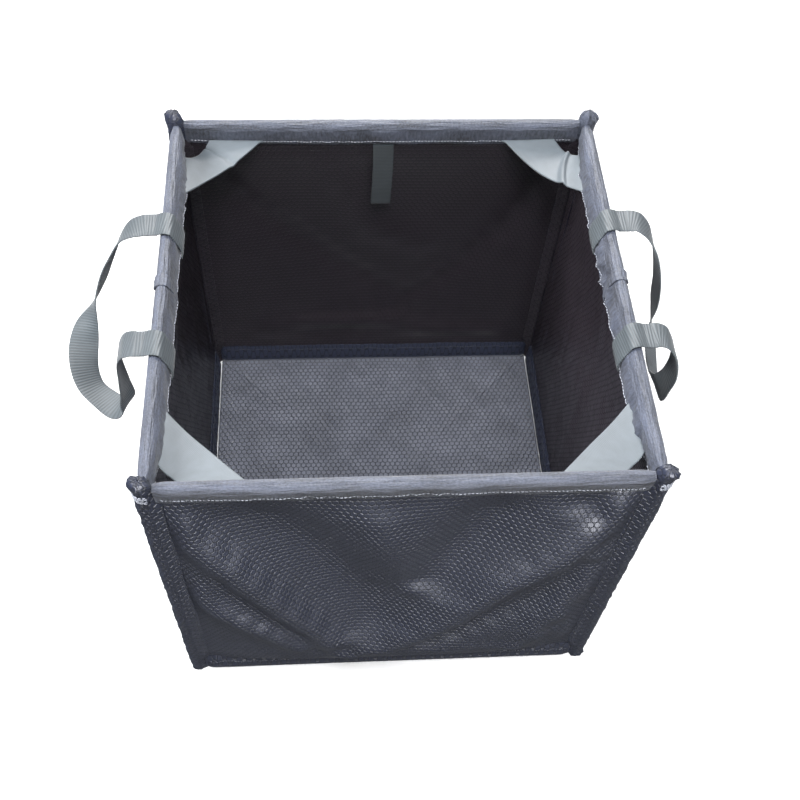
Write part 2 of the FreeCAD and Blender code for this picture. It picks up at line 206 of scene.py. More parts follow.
def crease(x, z, path, height, width, skew=1.0, power=1.3, fade=0.5):
    """A fold along a path: height * sin(pi s)^fade * exp(-(d / w)^power), where s is
    the share of the path passed and d the distance from it; w is skew times as wide on
    one side."""
    path = np.array(path, float)
    steps = np.diff(path, axis=0)
    spans = np.hypot(steps[:, 0], steps[:, 1])
    passed = np.concatenate([[0], np.cumsum(spans)])
    nearest, along, side = np.full(x.shape, 1e9), np.zeros(x.shape), np.ones(x.shape)
    for start, step, span, before in zip(path[:-1], steps, spans, passed):
        t = ((x - start[0]) * step[0] + (z - start[1]) * step[1]) / span**2
        t = np.clip(t, 0, 1)
        dx, dz = x - start[0] - t * step[0], z - start[1] - t * step[1]
        distance = np.hypot(dx, dz)
        closer = distance < nearest
        along = np.where(closer, before + t * span, along)
        side = np.where(closer, np.sign(step[0] * dz - step[1] * dx), side)
        nearest = np.minimum(nearest, distance)
    share = np.clip(along / passed[-1], 0, 1)
    wide = np.where(side > 0, width * skew, width)
    return height * np.sin(np.pi * share) ** fade * np.exp(-((nearest / wide) ** power))


def finer(points):
    """The same grid with a new point half-way between each pair, rows then columns, on
    the cubic through the four nearest: (9 (b + c) - a - d) / 16."""
    for axis in (0, 1):
        p = np.swapaxes(points, 0, axis)
        wide = np.concatenate([2 * p[:1] - p[1:2], p, 2 * p[-1:] - p[-2:-1]])
        out = np.empty((2 * len(p) - 1, *p.shape[1:]))
        out[::2] = p
        out[1::2] = (9 * (p[:-1] + p[1:]) - wide[:-3] - wide[3:]) / 16
        points = np.swapaxes(out, 0, axis)
    return points


def settle(points, cut, stages, pull, floor, ceiling, facing):
    """Lets slack cloth hang between its held edges. Every pair of near neighbours is
    moved half-way back to its distance on the flat cut, all at once, and the mean of
    the moves is taken; pairs two apart do the same weakly, which is the cloth's
    stiffness. Each step adds a small pull. The grid is made twice as fine between
    stages. The cloth's distance along facing stays between floor and ceiling."""
    facing = np.array(facing, float)
    for stage, steps in enumerate(stages):
        if stage:
            points = finer(points)
        rows, cols = points.shape[:2]
        v, u = cut[0] / (rows - 1), cut[1] / (cols - 1)
        slant = np.hypot(u, v)
        links = (
            ((0, 1), u, 1.0),
            ((1, 0), v, 1.0),
            ((1, 1), slant, 0.45),
            ((1, -1), slant, 0.45),
            ((0, 2), 2 * u, 0.3),
            ((2, 0), 2 * v, 0.3),
            ((0, 4), 4 * u, 0.12),
            ((4, 0), 4 * v, 0.12),
        )
        held = np.ones((rows, cols, 1))
        held[0] = held[-1] = held[:, 0] = held[:, -1] = 0
        tug = np.array(pull, float) / 2**stage
        for _ in range(steps):
            move, weight = np.zeros_like(points), np.zeros((rows, cols, 1))
            for (down, over), rest, stiff in links:
                first = np.s_[: rows - down, max(0, -over) : cols - max(0, over)]
                second = np.s_[down:, max(0, over) : cols - max(0, -over)]
                gap = points[second] - points[first]
                far = np.sqrt(np.einsum("ijk,ijk->ij", gap, gap))[..., None]
                half = gap * (stiff * 0.5 * (1 - rest / np.maximum(far, 1e-6)))
                move[first] += half
                move[second] -= half
                weight[first] += stiff
                weight[second] += stiff
            points = points + held * (1.7 * move / weight + tug)
            out = points @ facing
            over = np.clip(out, floor, ceiling) - out
            points = points + over[..., None] * facing
    return points


def smooth_path(points, count):
    """Catmull-Rom curve through the points, resampled at even steps of its length."""
    p = np.array(points, float)
    t = np.linspace(0, len(p) - 1, 40 * len(p))
    i = np.minimum(t.astype(int), len(p) - 2)
    f = (t - i)[:, None]
    a, b, c, d = (p[np.clip(i + k, 0, len(p) - 1)] for k in (-1, 0, 1, 2))
    curve = 0.5 * (
        2 * b
        + (c - a) * f
        + (2 * a - 5 * b + 4 * c - d) * f**2
        + (3 * b - a - 3 * c + d) * f**3
    )
    spans = np.linalg.norm(np.diff(curve[:, :3], axis=0), axis=1)
    passed = np.concatenate([[0], np.cumsum(spans)])
    at = np.linspace(0, passed[-1], count)
    return np.stack([np.interp(at, passed, column) for column in curve.T], axis=1)


def quads(rows, cols, first=0, wrap=False):
    """Corner numbers of the quads of a rows x cols grid of points."""
    index = first + np.arange(rows * cols).reshape(rows, cols)
    if wrap:
        index = np.concatenate([index, index[:, :1]], axis=1)
    return np.stack(
        [index[:-1, :-1], index[1:, :-1], index[1:, 1:], index[:-1, 1:]], axis=-1
    ).reshape(-1, 4)


def grid_uv(rows, cols, tall, wide):
    """Texture places of those quads' corners, in metres, from a tall x wide mm cut."""
    v, u = np.meshgrid(
        np.linspace(0, tall, rows), np.linspace(0, wide, cols), indexing="ij"
    )
    flat = np.stack([u, v], axis=-1).reshape(-1, 2) / 1000 + 1.0
    return flat[quads(rows, cols)].reshape(-1, 2)


def build(name, points, faces, uv, materials, sharp=45):
    """A mesh piece from points in mm, quads and one texture place per corner."""
    mesh = bpy.data.meshes.new(name)
    mesh.from_pydata((points.reshape(-1, 3) / 1000).tolist(), [], faces.tolist())
    layer = mesh.uv_layers.new(name="cut")
    layer.data.foreach_set("uv", np.asarray(uv, np.float32).ravel())
    for material in materials:
        mesh.materials.append(material)
    mesh.shade_smooth()
    mesh.set_sharp_from_angle(angle=np.radians(sharp))
    piece = bpy.data.objects.new(name, mesh)
    bpy.context.scene.collection.objects.link(piece)
    return piece


def cloth(name, points, facing, cut, materials, thickness):
    """One layer of cloth on a grid of points, given its thickness by Solidify; its
    first material is on the side that looks along facing, its second on the other."""
    rows, cols = points.shape[:2]
    across = np.cross(
        points[1:, :-1] - points[:-1, :-1], points[:-1, 1:] - points[:-1, :-1]
    )
    faces = quads(rows, cols)
    uv = grid_uv(rows, cols, cut[0], cut[1]).reshape(-1, 4, 2)
    if across.reshape(-1, 3).sum(0) @ np.array(facing, float) < 0:
        faces, uv = faces[:, ::-1], uv[:, ::-1]
    piece = build(name, points, faces, uv.reshape(-1, 2), materials)
    solid = piece.modifiers.new("cloth thickness", "SOLIDIFY")
    solid.thickness = thickness
    solid.offset = 0
    solid.material_offset = len(materials) - 1
    return piece


def volume(points, faces):
    """Signed volume inside the quads, positive if they look outward."""
    p = points.reshape(-1, 3)
    a, b, c, d = (p[faces[:, k]] for k in range(4))
    return (
        np.einsum("ij,ij->i", a, np.cross(b, c)).sum()
        + np.einsum("ij,ij->i", a, np.cross(c, d)).sum()
    )


def sleeve(name, outer, inner, cut, materials):
    """A hollow sleeve: an outer and an inner tube of rings, joined at both ends."""
    rows, cols = outer.shape[:2]
    faces = [quads(rows, cols, wrap=True)]
    faces.append(quads(rows, cols, rows * cols, wrap=True)[:, ::-1])
    ring = np.arange(cols)
    after = (ring + 1) % cols
    inside = rows * cols
    last = (rows - 1) * cols
    faces.append(np.stack([ring, after, after + inside, ring + inside], -1))
    faces.append(np.stack([after, ring, ring + inside, after + inside], -1) + last)
    faces = np.concatenate(faces)
    points = np.concatenate([outer, inner]).reshape(-1, 3)
    tube = grid_uv(rows, cols + 1, cut[0], cut[1]).reshape(-1, 4, 2)
    end = np.stack([ring, after], -1) * cut[1] / cols / 1000 + 1.0
    end = np.stack([end[:, [0, 1, 1, 0]], np.ones((cols, 4))], -1)
    uv = np.concatenate([tube, tube[:, ::-1], end, end])
    if volume(points, faces) < 0:
        faces, uv = faces[:, ::-1], uv[:, ::-1]
    return build(name, points, faces, uv.reshape(-1, 2), materials, 60)


def ribbon(name, path, across, width, thickness, materials, count=110):
    """Webbing: a flat rounded section, width x thickness, carried along a smooth path;
    across gives the way its width points at each path point, and is squared up to the
    path."""
    line = smooth_path(np.hstack([path, across]), count)
    centre, wide = line[:, :3], line[:, 3:6]
    along = np.gradient(centre, axis=0)
    along /= np.linalg.norm(along, axis=1)[:, None]
    wide = wide - np.einsum("ij,ij->i", wide, along)[:, None] * along
    wide /= np.linalg.norm(wide, axis=1)[:, None]
    normal = np.cross(along, wide)
    half = np.concatenate([np.linspace(-1, 1, 13), np.linspace(1, -1, 13)])
    lift = np.concatenate([np.full(13, 0.5), np.full(13, -0.5)])
    lift = lift * np.where(np.abs(half) > 0.999, 0.55, 1.0)
    rows, cols = count, len(half)
    points = (
        centre[:, None]
        + wide[:, None] * (half[:, None] * width / 2)
        + normal[:, None] * (lift[:, None] * thickness)
    )
    faces = quads(rows, cols, wrap=True)
    spans = np.linalg.norm(np.diff(centre, axis=0), axis=1).sum()
    uv = grid_uv(rows, cols + 1, spans, 2 * width).reshape(-1, 4, 2)
    k = np.arange(12)
    cap = np.stack([k, k + 1, 24 - k, 25 - k], -1)
    faces = np.concatenate([faces, cap, cap[:, ::-1] + (rows - 1) * cols])
    uv = np.concatenate([uv, np.full((24, 4, 2), 1.0)])
    if volume(points, faces) < 0:
        faces, uv = faces[:, ::-1], uv[:, ::-1]
    return build(name, points, faces, uv.reshape(-1, 2), materials, 50)


def stitches(name, path, normal, materials, pitch, reach=1.3, radius=0.42):
    """A row of stitches: one short round-ended thread, 1 + 4 rings of 6 points, set
    along the path at every pitch."""
    spans = np.linalg.norm(np.diff(path, axis=0), axis=1)
    passed = np.concatenate([[0], np.cumsum(spans)])
    at = np.arange(pitch / 2, passed[-1], pitch)
    centre = np.stack([np.interp(at, passed, c) for c in path.T], axis=1)
    up = np.stack([np.interp(at, passed, c) for c in normal.T], axis=1)
    ahead = np.stack([np.interp(at + 0.3, passed, c) for c in path.T], axis=1) - centre
    back = centre - np.stack([np.interp(at - 0.3, passed, c) for c in path.T], axis=1)
    along = ahead + back
    along /= np.linalg.norm(along, axis=1)[:, None]
    side = np.cross(along, up)
    side /= np.linalg.norm(side, axis=1)[:, None] + 1e-9
    up = np.cross(side, along)
    turn = np.linspace(0, 2 * np.pi, 6, endpoint=False)
    place = np.array([-1, -0.7, 0, 0.7, 1])
    swell = np.array([0.25, 0.85, 1, 0.85, 0.25])
    ring_a = (place[:, None] * np.ones(6)).ravel() * reach
    ring_b = (swell[:, None] * np.cos(turn)).ravel() * radius
    ring_c = (swell[:, None] * np.sin(turn)).ravel() * radius
    points = (
        centre[:, None]
        + along[:, None] * ring_a[:, None]
        + side[:, None] * ring_b[:, None]
        + up[:, None] * ring_c[:, None]
    )
    one = quads(5, 6, wrap=True)
    ends = np.array([[0, 1, 2, 3], [0, 3, 4, 5]])
    one = np.concatenate([one, ends, ends[:, ::-1] + 24])
    if volume(points[0], one) < 0:
        one = one[:, ::-1]
    faces = (one[None] + 30 * np.arange(len(at))[:, None, None]).reshape(-1, 4)
    return build(name, points, faces, np.full((faces.size, 2), 1.0), materials, 80)


# ------------------------------------------------------------------ materials


def add(tree, kind, inputs=(), **settings):
    """Adds one node, with its settings, and its inputs as values or links."""
    node = tree.nodes.new(kind)
    for key, value in settings.items():
        setattr(node, key, value)
    for key, value in dict(inputs).items():
        if isinstance(value, bpy.types.NodeSocket):
            tree.links.new(value, node.inputs[key])
        else:
            node.inputs[key].default_value = value
    return node


def new_material(name, **shader):
    """An empty material with a Principled shader, its uniform values set."""
    material = bpy.data.materials.new(name)
    material.use_nodes = True
    tree = material.node_tree
    surface = tree.nodes["Principled BSDF"]
    for key, value in shader.items():
        surface.inputs[key.replace("_", " ")].default_value = value
    return material, tree, surface


VECTOR, MATH, MIX, RANGE, NOISE, WAVE, BUMP = (
    f"ShaderNode{kind}"
    for kind in ("VectorMath", "Math", "Mix", "MapRange", "TexNoise", "TexWave", "Bump")
)


def cut_places(tree):
    """Places on the flat cut, in metres, from the piece's own map."""
    return add(tree, "ShaderNodeUVMap", uv_map="cut").outputs[0]


def spread(low, high, first, last):
    """Inputs of a range from low..high to first..last."""
    return {"From Min": low, "From Max": high, "To Min": first, "To Max": last}


def bands(gap):
    """Scale at which a wave's bands lie gap metres apart: its sine turns 20 radians a
    unit."""
    return 2 * np.pi / 20 / gap


def hexagons(tree, uv, pitch):
    """Share of a pressed pad: two offset lattices, the nearer centre, then the largest
    of |x| and the distance along 60 degrees."""
    cell, half = (1.0, 1.7320508, 1.0), (0.5, 0.8660254, 0.5)
    p = add(tree, VECTOR, {0: uv, "Scale": 1 / pitch}, operation="SCALE").outputs[0]
    moved = add(tree, VECTOR, {0: p, 1: half}, operation="ADD").outputs[0]
    offsets, lengths = [], []
    for start in (p, moved):
        step = add(tree, VECTOR, {0: start, 1: cell}, operation="MODULO").outputs[0]
        step = add(tree, VECTOR, {0: step, 1: half}, operation="SUBTRACT").outputs[0]
        step = add(tree, VECTOR, {0: step, 1: (1, 1, 0)}, operation="MULTIPLY")
        offsets.append(step.outputs[0])
        far = add(tree, VECTOR, {0: step.outputs[0]}, operation="LENGTH")
        lengths.append(far.outputs["Value"])
    nearer = add(tree, MATH, dict(enumerate(lengths)), operation="LESS_THAN")
    chosen = add(
        tree,
        MIX,
        {0: nearer.outputs[0], 4: offsets[1], 5: offsets[0]},
        data_type="VECTOR",
    ).outputs[1]
    size = add(tree, VECTOR, {0: chosen}, operation="ABSOLUTE").outputs[0]
    slanted = add(
        tree, VECTOR, {0: size, 1: (0.5, 0.8660254, 0)}, operation="DOT_PRODUCT"
    ).outputs["Value"]
    upright = add(tree, "ShaderNodeSeparateXYZ", {0: size}).outputs[0]
    edge = add(tree, MATH, {0: slanted, 1: upright}, operation="MAXIMUM").outputs[0]
    return add(
        tree,
        RANGE,
        {"Value": edge, **spread(0.485, 0.36, 0.0, 1.0)},
        interpolation_type="SMOOTHSTEP",
    ).outputs[0]


def embossed(name, pad, line, pitch, rough, lift, mottle, **shader):
    """Coated ripstop polyester, woven and then pressed with hexagons: the pads are
    smoother than the pressed lines, so they glint, and upright threads run through
    both. The pads' colour is also a little lighter than the lines': a painted glint on
    the pads and painted shade in the pressed lines, over the real pressed pattern that
    the bump draws too."""
    material, tree, surface = new_material(name, **shader)
    uv = cut_places(tree)
    pads = hexagons(tree, uv, pitch)
    # pads lighter, lines darker: a painted glint on the pads and painted shade in the
    # pressed lines
    base = add(tree, MIX, {0: pads, 6: line, 7: pad}, data_type="RGBA").outputs[2]
    patch = add(
        tree, NOISE, {"Vector": uv, "Scale": 22.0, "Detail": 3.0, "Roughness": 0.6}
    ).outputs[0]
    shade = add(
        tree, RANGE, {"Value": patch, **spread(0.3, 0.7, 1 - mottle, 1 + mottle)}
    ).outputs[0]
    blotched = add(tree, VECTOR, {0: base, "Scale": shade}, operation="SCALE").outputs[0]
    tree.links.new(blotched, surface.inputs["Base Color"])
    gloss = add(tree, RANGE, {"Value": pads, **spread(0.0, 1.0, rough[1], rough[0])})
    tree.links.new(gloss.outputs[0], surface.inputs["Roughness"])
    # threads 0.35 mm apart are too fine to show, so these are drawn 1.8 mm apart
    threads = add(
        tree,
        WAVE,
        {"Vector": uv, "Scale": bands(0.0018), "Distortion": 0.6, "Detail": 1.0},
        bands_direction="X",
    ).outputs[1]
    grain = add(tree, MATH, {0: threads, 1: 0.12}, operation="MULTIPLY").outputs[0]
    height = add(tree, MATH, {0: pads, 1: grain}, operation="ADD").outputs[0]
    bump = add(tree, BUMP, {"Strength": lift, "Distance": 0.0005, "Height": height})
    tree.links.new(bump.outputs[0], surface.inputs["Normal"])
    return material


def mottled(name, light, dark):
    """Rim hem cloth, the same polyester brushed on its face: light and dark threads
    give a denim-like speckle, drawn about 1.5 mm across, and slanting wrinkles 6 mm to
    20 mm long run over it."""
    material, tree, surface = new_material(
        name, Roughness=0.62, Sheen_Weight=0.2, Sheen_Roughness=0.5
    )
    uv = cut_places(tree)
    speck = add(
        tree, NOISE, {"Vector": uv, "Scale": 420.0, "Detail": 4.0, "Roughness": 0.65}
    ).outputs[0]
    drawn = add(
        tree, VECTOR, {0: uv, 1: (60.0, 16.0, 1.0)}, operation="MULTIPLY"
    ).outputs[0]
    cloud = add(
        tree, NOISE, {"Vector": drawn, "Scale": 1.0, "Detail": 3.0, "Roughness": 0.6}
    ).outputs[0]
    both = add(tree, MATH, {0: cloud, 1: 0.9, 2: speck}, operation="MULTIPLY_ADD")
    share = add(tree, RANGE, {"Value": both.outputs[0], **spread(0.72, 1.18, 0.0, 1.0)})
    base = add(tree, MIX, {0: share.outputs[0], 6: dark, 7: light}, data_type="RGBA")
    tree.links.new(base.outputs[2], surface.inputs["Base Color"])
    slant = add(
        tree,
        "ShaderNodeMapping",
        {"Vector": uv, "Rotation": (0.0, 0.0, 0.9), "Scale": (170.0, 34.0, 1.0)},
    ).outputs[0]
    wrinkle = add(tree, NOISE, {"Vector": slant, "Scale": 1.0, "Detail": 2.0})
    fine = add(tree, BUMP, {"Strength": 0.5, "Distance": 0.0005, "Height": speck})
    bump = add(
        tree,
        BUMP,
        {
            "Strength": 0.75,
            "Distance": 0.0035,
            "Height": wrinkle.outputs[0],
            "Normal": fine.outputs[0],
        },
    )
    tree.links.new(bump.outputs[0], surface.inputs["Normal"])
    return material


def woven(name, tone, rib, rough, dark, lift):
    """Polyester webbing, a tight weave whose ribs run across it. Ribs 1 mm apart are
    too fine to show, so they are drawn 1.9 mm to 2.4 mm apart; dark is the share of its
    tone left in the gaps between them."""
    material, tree, surface = new_material(
        name, Roughness=rough, Sheen_Weight=0.3, Sheen_Roughness=0.4
    )
    uv = cut_places(tree)
    ribs = add(
        tree,
        WAVE,
        {"Vector": uv, "Scale": bands(rib), "Distortion": 0.4, "Detail": 1.0},
        bands_direction="Y",
    ).outputs[1]
    fluff = add(tree, NOISE, {"Vector": uv, "Scale": 700.0, "Detail": 2.0}).outputs[0]
    weave = add(
        tree, MATH, {0: fluff, 1: 0.5, 2: ribs}, operation="MULTIPLY_ADD"
    ).outputs[0]
    cloud = add(tree, NOISE, {"Vector": uv, "Scale": 60.0, "Detail": 3.0}).outputs[0]
    gaps = add(tree, RANGE, {"Value": weave, **spread(0.3, 1.2, dark, 1.05)})
    blotched = add(tree, RANGE, {"Value": cloud, **spread(0.3, 0.7, 0.93, 1.07)})
    shade = add(
        tree, MATH, {0: gaps.outputs[0], 1: blotched.outputs[0]}, operation="MULTIPLY"
    ).outputs[0]
    base = add(tree, VECTOR, {0: tone[:3], "Scale": shade}, operation="SCALE")
    tree.links.new(base.outputs[0], surface.inputs["Base Color"])
    bump = add(tree, BUMP, {"Strength": lift, "Distance": 0.0003, "Height": weave})
    tree.links.new(bump.outputs[0], surface.inputs["Normal"])
    return material


def plain(name, tone, rough, scale, change, **shader):
    """A finish with a fine grain: noise moves its colour and roughness a little."""
    material, tree, surface = new_material(name, **shader)
    at = add(tree, "ShaderNodeTexCoord").outputs["Object"]
    grain = add(tree, NOISE, {"Vector": at, "Scale": scale, "Detail": 4.0}).outputs[0]
    shade = add(
        tree, RANGE, {"Value": grain, **spread(0.3, 0.7, 1 - change, 1 + change)}
    ).outputs[0]
    base = add(tree, VECTOR, {0: tone[:3], "Scale": shade}, operation="SCALE")
    tree.links.new(base.outputs[0], surface.inputs["Base Color"])
    gloss = add(
        tree, RANGE, {"Value": grain, **spread(0.3, 0.7, rough * 0.85, rough * 1.15)}
    )
    tree.links.new(gloss.outputs[0], surface.inputs["Roughness"])
    return material


def finishes():
    """For each finish: what makes it, its name, and what it is made from."""
    c, pitch = colours(), sizes().pad_pitch
    wall_gloss = {"Specular_IOR_Level": 0.6}
    floor_gloss = {"Specular_IOR_Level": 0.8}
    return {
        # tight woven polyester with a coated back: dark, with a broad soft glint
        "wall": (
            *(embossed, "embossed ripstop polyester", wall_gloss, c.wall),
            # pad and line colours: a painted glint on the pads and painted shade in the
            # pressed lines
            *(c.wall_line_with_painted_shade, pitch, (0.36, 0.5), 0.8, 0.05),
        ),
        # the coated back of the same cloth: brown-black and smooth
        "lining": (
            *(embossed, "polyurethane coated lining", {}, c.lining),
            # pad and line colours: a painted glint on the pads and painted shade in the
            # pressed lines
            *(c.lining_line_with_painted_shade, pitch, (0.34, 0.5), 0.8, 0.08),
        ),
        # brushed on its face: pale and dark threads, no gloss
        "hem": (mottled, "brushed polyester hem cloth", {}, c.hem, c.hem_dark),
        # heavier coated cloth: satin highlights along its wrinkles
        "floor": (
            # pale pads and dark lines: a painted glint on the pads and painted shade in
            # the lines, over the shader's real gloss
            *(embossed, "glossy embossed floor cloth", floor_gloss, c.floor),
            *(c.floor_line_with_painted_shade, pitch, (0.24, 0.4), 0.8, 0.2),
        ),
        # flat webbing: fine cross ribs, matt
        "webbing": (
            *(woven, "polyester webbing", {}, c.webbing),
            *(0.0019, 0.6, 0.88, 0.3),
        ),
        # heavier webbing: ribs that show
        "handle": (
            *(woven, "ribbed polyester webbing", {}, c.handle),
            *(0.0024, 0.6, 0.7, 0.6),
        ),
        "dark": (
            *(woven, "dark polyester webbing", {}, c.dark_webbing),
            *(0.0019, 0.6, 0.85, 0.4),
        ),
        # twisted thread: slightly shiny
        "thread": (
            *(plain, "pale polyester sewing thread", {}, c.thread),
            *(0.5, 900.0, 0.15),
        ),
        "dark thread": (
            *(plain, "dark polyester sewing thread", {}, c.dark_thread),
            *(0.5, 900.0, 0.15),
        ),
        # resin over drawn glass fibres: smooth, with a thin clear skin
        "rod": (
            *(plain, "pultruded fibreglass rod", {"Coat_Weight": 0.3}, c.rod),
            *(0.35, 500.0, 0.2),
        ),
        # matt white paper
        "ground": (plain, "matt paper ground", {}, c.ground, 0.8, 30.0, 0.01),
        "backdrop": (plain, "matt paper backdrop", {}, c.ground, 0.8, 30.0, 0.01),
    }


def finish_of(key):
    """The material of that name, made the first time it is asked for."""
    maker, name, shader, *values = finishes()[key]
    found = bpy.data.materials.get(name)
    return found or maker(name, *values, **shader)


# --------------------------------------------------------------------- pieces


def place(piece, body, slot, nodes=()):
    """Rides a body and stands for the nodes; slot is not used."""
    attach(piece, body)
    if nodes:
        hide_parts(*nodes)
    return piece


def bend(piece, nodes=()):
    """Bakes the piece's place into its mesh and stands for the nodes."""
    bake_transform(piece)
    if nodes:
        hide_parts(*nodes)
    return piece


def flatten(piece, body, nodes=()):
    """Rides a body with a mesh of its own and stands for the nodes."""
    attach(piece, body)
    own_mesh(piece)
    if nodes:
        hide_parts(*nodes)
    return piece


def teardrop(depth, radius, tail, count=40):
    """Closed section of a sewn sleeve: an arc round the rod, then two nearly straight
    sides that meet at the seam. Returns across and down from the rod, in mm."""
    lean = np.arcsin((radius - tail) / depth)
    arc = np.linspace(np.pi / 2, -lean, count * 2 // 5)
    t = np.linspace(0, 1, count // 2 - len(arc) + 1)[1:]
    side_a = radius * np.cos(lean) + t * (tail - radius * np.cos(lean))
    side_b = -radius * np.sin(lean) - t * (depth - radius * np.sin(lean))
    a = np.concatenate([radius * np.cos(arc), side_a])
    b = np.concatenate([radius * np.sin(arc), side_b])
    return (np.concatenate([a, -a[::-1][:-1]]), np.concatenate([b, b[::-1][:-1]]))


def corner_fade(along):
    """1 along most of a side, easing to 0.1 where the rim meets the corner sleeves."""
    return 1 - 0.9 * ease(np.abs(along), 140, 188)


def leaned(a, b, depth, inward):
    """The section with its seam end moved into the bag: by inward times the share of
    the depth reached, to the power 0.8."""
    return a - inward * np.clip((2 - b) / depth, 0, 1) ** 0.8


def hem_rings(span, origin, along, out, up, depth, seed, crease_height, inward):
    """Rings of a hem sleeve: the teardrop section carried along the rod. Slanting
    folded noise moves the cloth out and in along the section's own sideways normal,
    least over the rod and at the seam, and the ends are pinched as 1 - 0.3 exp(-(d /
    5)^2)."""
    count = int(abs(span[1] - span[0]) / 2) + 2
    s = np.linspace(span[0], span[1], count)[:, None]
    thick = sizes().cloth * 1000
    outer_a, outer_b = teardrop(depth, SLEEVE, 1.1)
    inner_a, inner_b = teardrop(depth - 1.5, SLEEVE - thick, 0.35)
    share = np.clip(-outer_b / depth, -0.3, 1)[None]
    side = np.sign(outer_a)[None]
    slope = s + 0.9 * outer_b[None] + side * 31
    wave = crumple(slope / 13, outer_b[None] / 40 + side * 3, seed)
    fine = crumple(slope / 5.0, outer_b[None] / 16 + side * 5, seed + 5)
    where = 0.45 + 0.9 * noise(s / 60, s * 0, seed + 13)
    inward = inward * corner_fade(s)
    swell = crease_height * where * (1.6 * wave + 0.7 * fine) * (
        0.12 + ease(share, -0.1, 0.4) * (1 - 0.8 * ease(share, 0.8, 1.0))
    )
    ends = np.minimum(s - span[0], span[1] - s)
    pinch = 1 - 0.3 * np.exp(-((ends / 5) ** 2))
    drop = 1.2 * (noise(s / 21, s * 0, seed + 9) - 0.5) * ease(share, 0.4, 1.0)
    a = leaned(outer_a[None] * pinch, outer_b[None], depth, inward) + side * swell
    b = outer_b[None] + 0.25 * swell + drop
    core_a = leaned(inner_a[None] * pinch, inner_b[None], depth, inward) + 0 * s
    core_b = inner_b[None] + drop * 0.9 + 0 * s
    origin, out, up, along = (
        np.array(w, float) for w in (origin, out, up, along)
    )
    rings, core = (
        origin + s[..., None] * along + p[..., None] * out + q[..., None] * up
        for p, q in ((a, b), (core_a, core_b))
    )
    return rings, core


def hem(
    name, span, origin, along, out, up, inward, seed, material, height, body, nodes
):
    """One hem sleeve with its stitch row and its place on a body."""
    depth = RIM - SEAM_HIGH
    rings, core = hem_rings(span, origin, along, out, up, depth, seed, height, inward)
    cut = (abs(span[1] - span[0]), 2 * depth + np.pi * SLEEVE)
    piece = sleeve(name, rings, core, cut, [finish_of(material)])
    place(piece, body, "hem cloth", nodes)
    middle_point = rings.shape[1] // 2
    for label, column in (("outer", middle_point - 2), ("inner", middle_point + 2)):
        path = rings[2:-2, column]
        sign = 1 if label == "outer" else -1
        normal = np.tile(np.array(out, float) * sign, (len(path), 1))
        row = stitches(
            f"{name}_{label}_stitching",
            path + normal * 0.25,
            normal,
            [finish_of("thread" if material == "hem" else "dark thread")],
            sizes().stitch * 1000,
        )
        place(row, body, "hem cloth")
    return piece


def share_up(z):
    """Share of the way from a wall's foot seam to its rim seam."""
    return (z - SEAM_LOW) / (SEAM_HIGH - SEAM_LOW)


def loose(up, across, foot, rim, sides):
    """1 where a wall hangs free, easing to 0 over its foot, its rim and both sides."""
    return ease(up, *foot) * (1 - ease(up, *rim)) * (1 - ease(np.abs(across), *sides))


def front_shape(x, z):
    """Outward push of the slack front before it settles, in mm: a belly that is low and
    wide, and the long folds that run from the upper corners to the foot."""
    up = share_up(z)
    inside = 1 - np.clip(np.abs(x) / CLOTH_END, 0, 1) ** 2.6
    belly = sizes().front_belly * 1000
    push = belly * inside * ease(up, -0.03, 0.08) * (1 - np.clip(up, 0, 1)) ** 0.7
    for path, height, width, skew, power in FRONT_FOLDS:
        push = push + crease(x, z, path, height, width, skew, power)
    edge = loose(up, x, (-0.03, 0.05), (0.92, 1.02), (172, CLOTH_END))
    return push * (0.1 + 0.9 * edge)


# paths of the long folds of the front, as (x, z) in mm, then height, width, skew, power
FRONT_FOLDS = (
    (
        ((196, 372), (158, 291), (130, 248), (97, 214), (58, 151), (7, 92), (-70, 62)),
        *(25, 30, 0.3, 1.1),
    ),
    (((180, 240), (125, 160), (60, 92), (0, 62)), -11, 20, 0.7, 1.5),
    (((190, 262), (166, 170), (146, 105), (128, 40)), 17, 15, 0.4, 1.1),
    (((193, 190), (178, 115), (166, 50)), 12, 9, 0.5, 1.2),
    (
        ((-194, 372), (-172, 309), (-134, 241), (-102, 179), (-50, 90)),
        *(23, 30, 0.35, 1.2),
    ),
    (((-180, 300), (-150, 220), (-112, 150), (-84, 104)), -9, 13, 0.8, 1.5),
    (((-198, 262), (-166, 185), (-124, 133), (-80, 76)), 16, 18, 0.4, 1.2),
    (((-150, 372), (-84, 289), (-29, 173), (-10, 120)), -12, 38, 1.0, 1.8),
    (((90, 372), (60, 290), (20, 200)), -12, 32, 1.0, 1.8),
    (((-30, 362), (-10, 280), (8, 210)), 6, 22, 1.0, 1.5),
    (((120, 372), (150, 340), (176, 300)), -7, 12, 1.0, 1.6),
)


def back_shape(x, z):
    """Push of the back wall out of the bag: one shallow belly, soft slanting folds from
    the corners and a deeper fold along the foot."""
    up = share_up(z)
    inside = 1 - np.clip(np.abs(x) / CLOTH_END, 0, 1) ** 2.2
    push = sizes().back_belly * 1000 * inside * np.sin(np.pi * np.clip(up, 0, 1)) ** 0.8
    for path, height, width, skew, power in BACK_FOLDS:
        push = push + crease(x, z, path, height, width, skew, power)
    edge = loose(up, x, (-0.02, 0.1), (0.88, 1.02), (165, CLOTH_END))
    return np.maximum(push * (0.1 + 0.9 * edge), -3.5)


BACK_FOLDS = (
    (((-188, 350), (-120, 250), (-40, 170), (40, 110)), 5, 28, 0.6, 1.3),
    (((188, 350), (140, 240), (80, 150), (10, 80)), 5, 26, 0.6, 1.3),
    (((-150, 60), (-40, 74), (60, 62), (160, 58)), -4, 14, 0.7, 1.3),
    (((-60, 340), (-10, 230), (60, 190)), -4, 26, 1.0, 1.5),
)


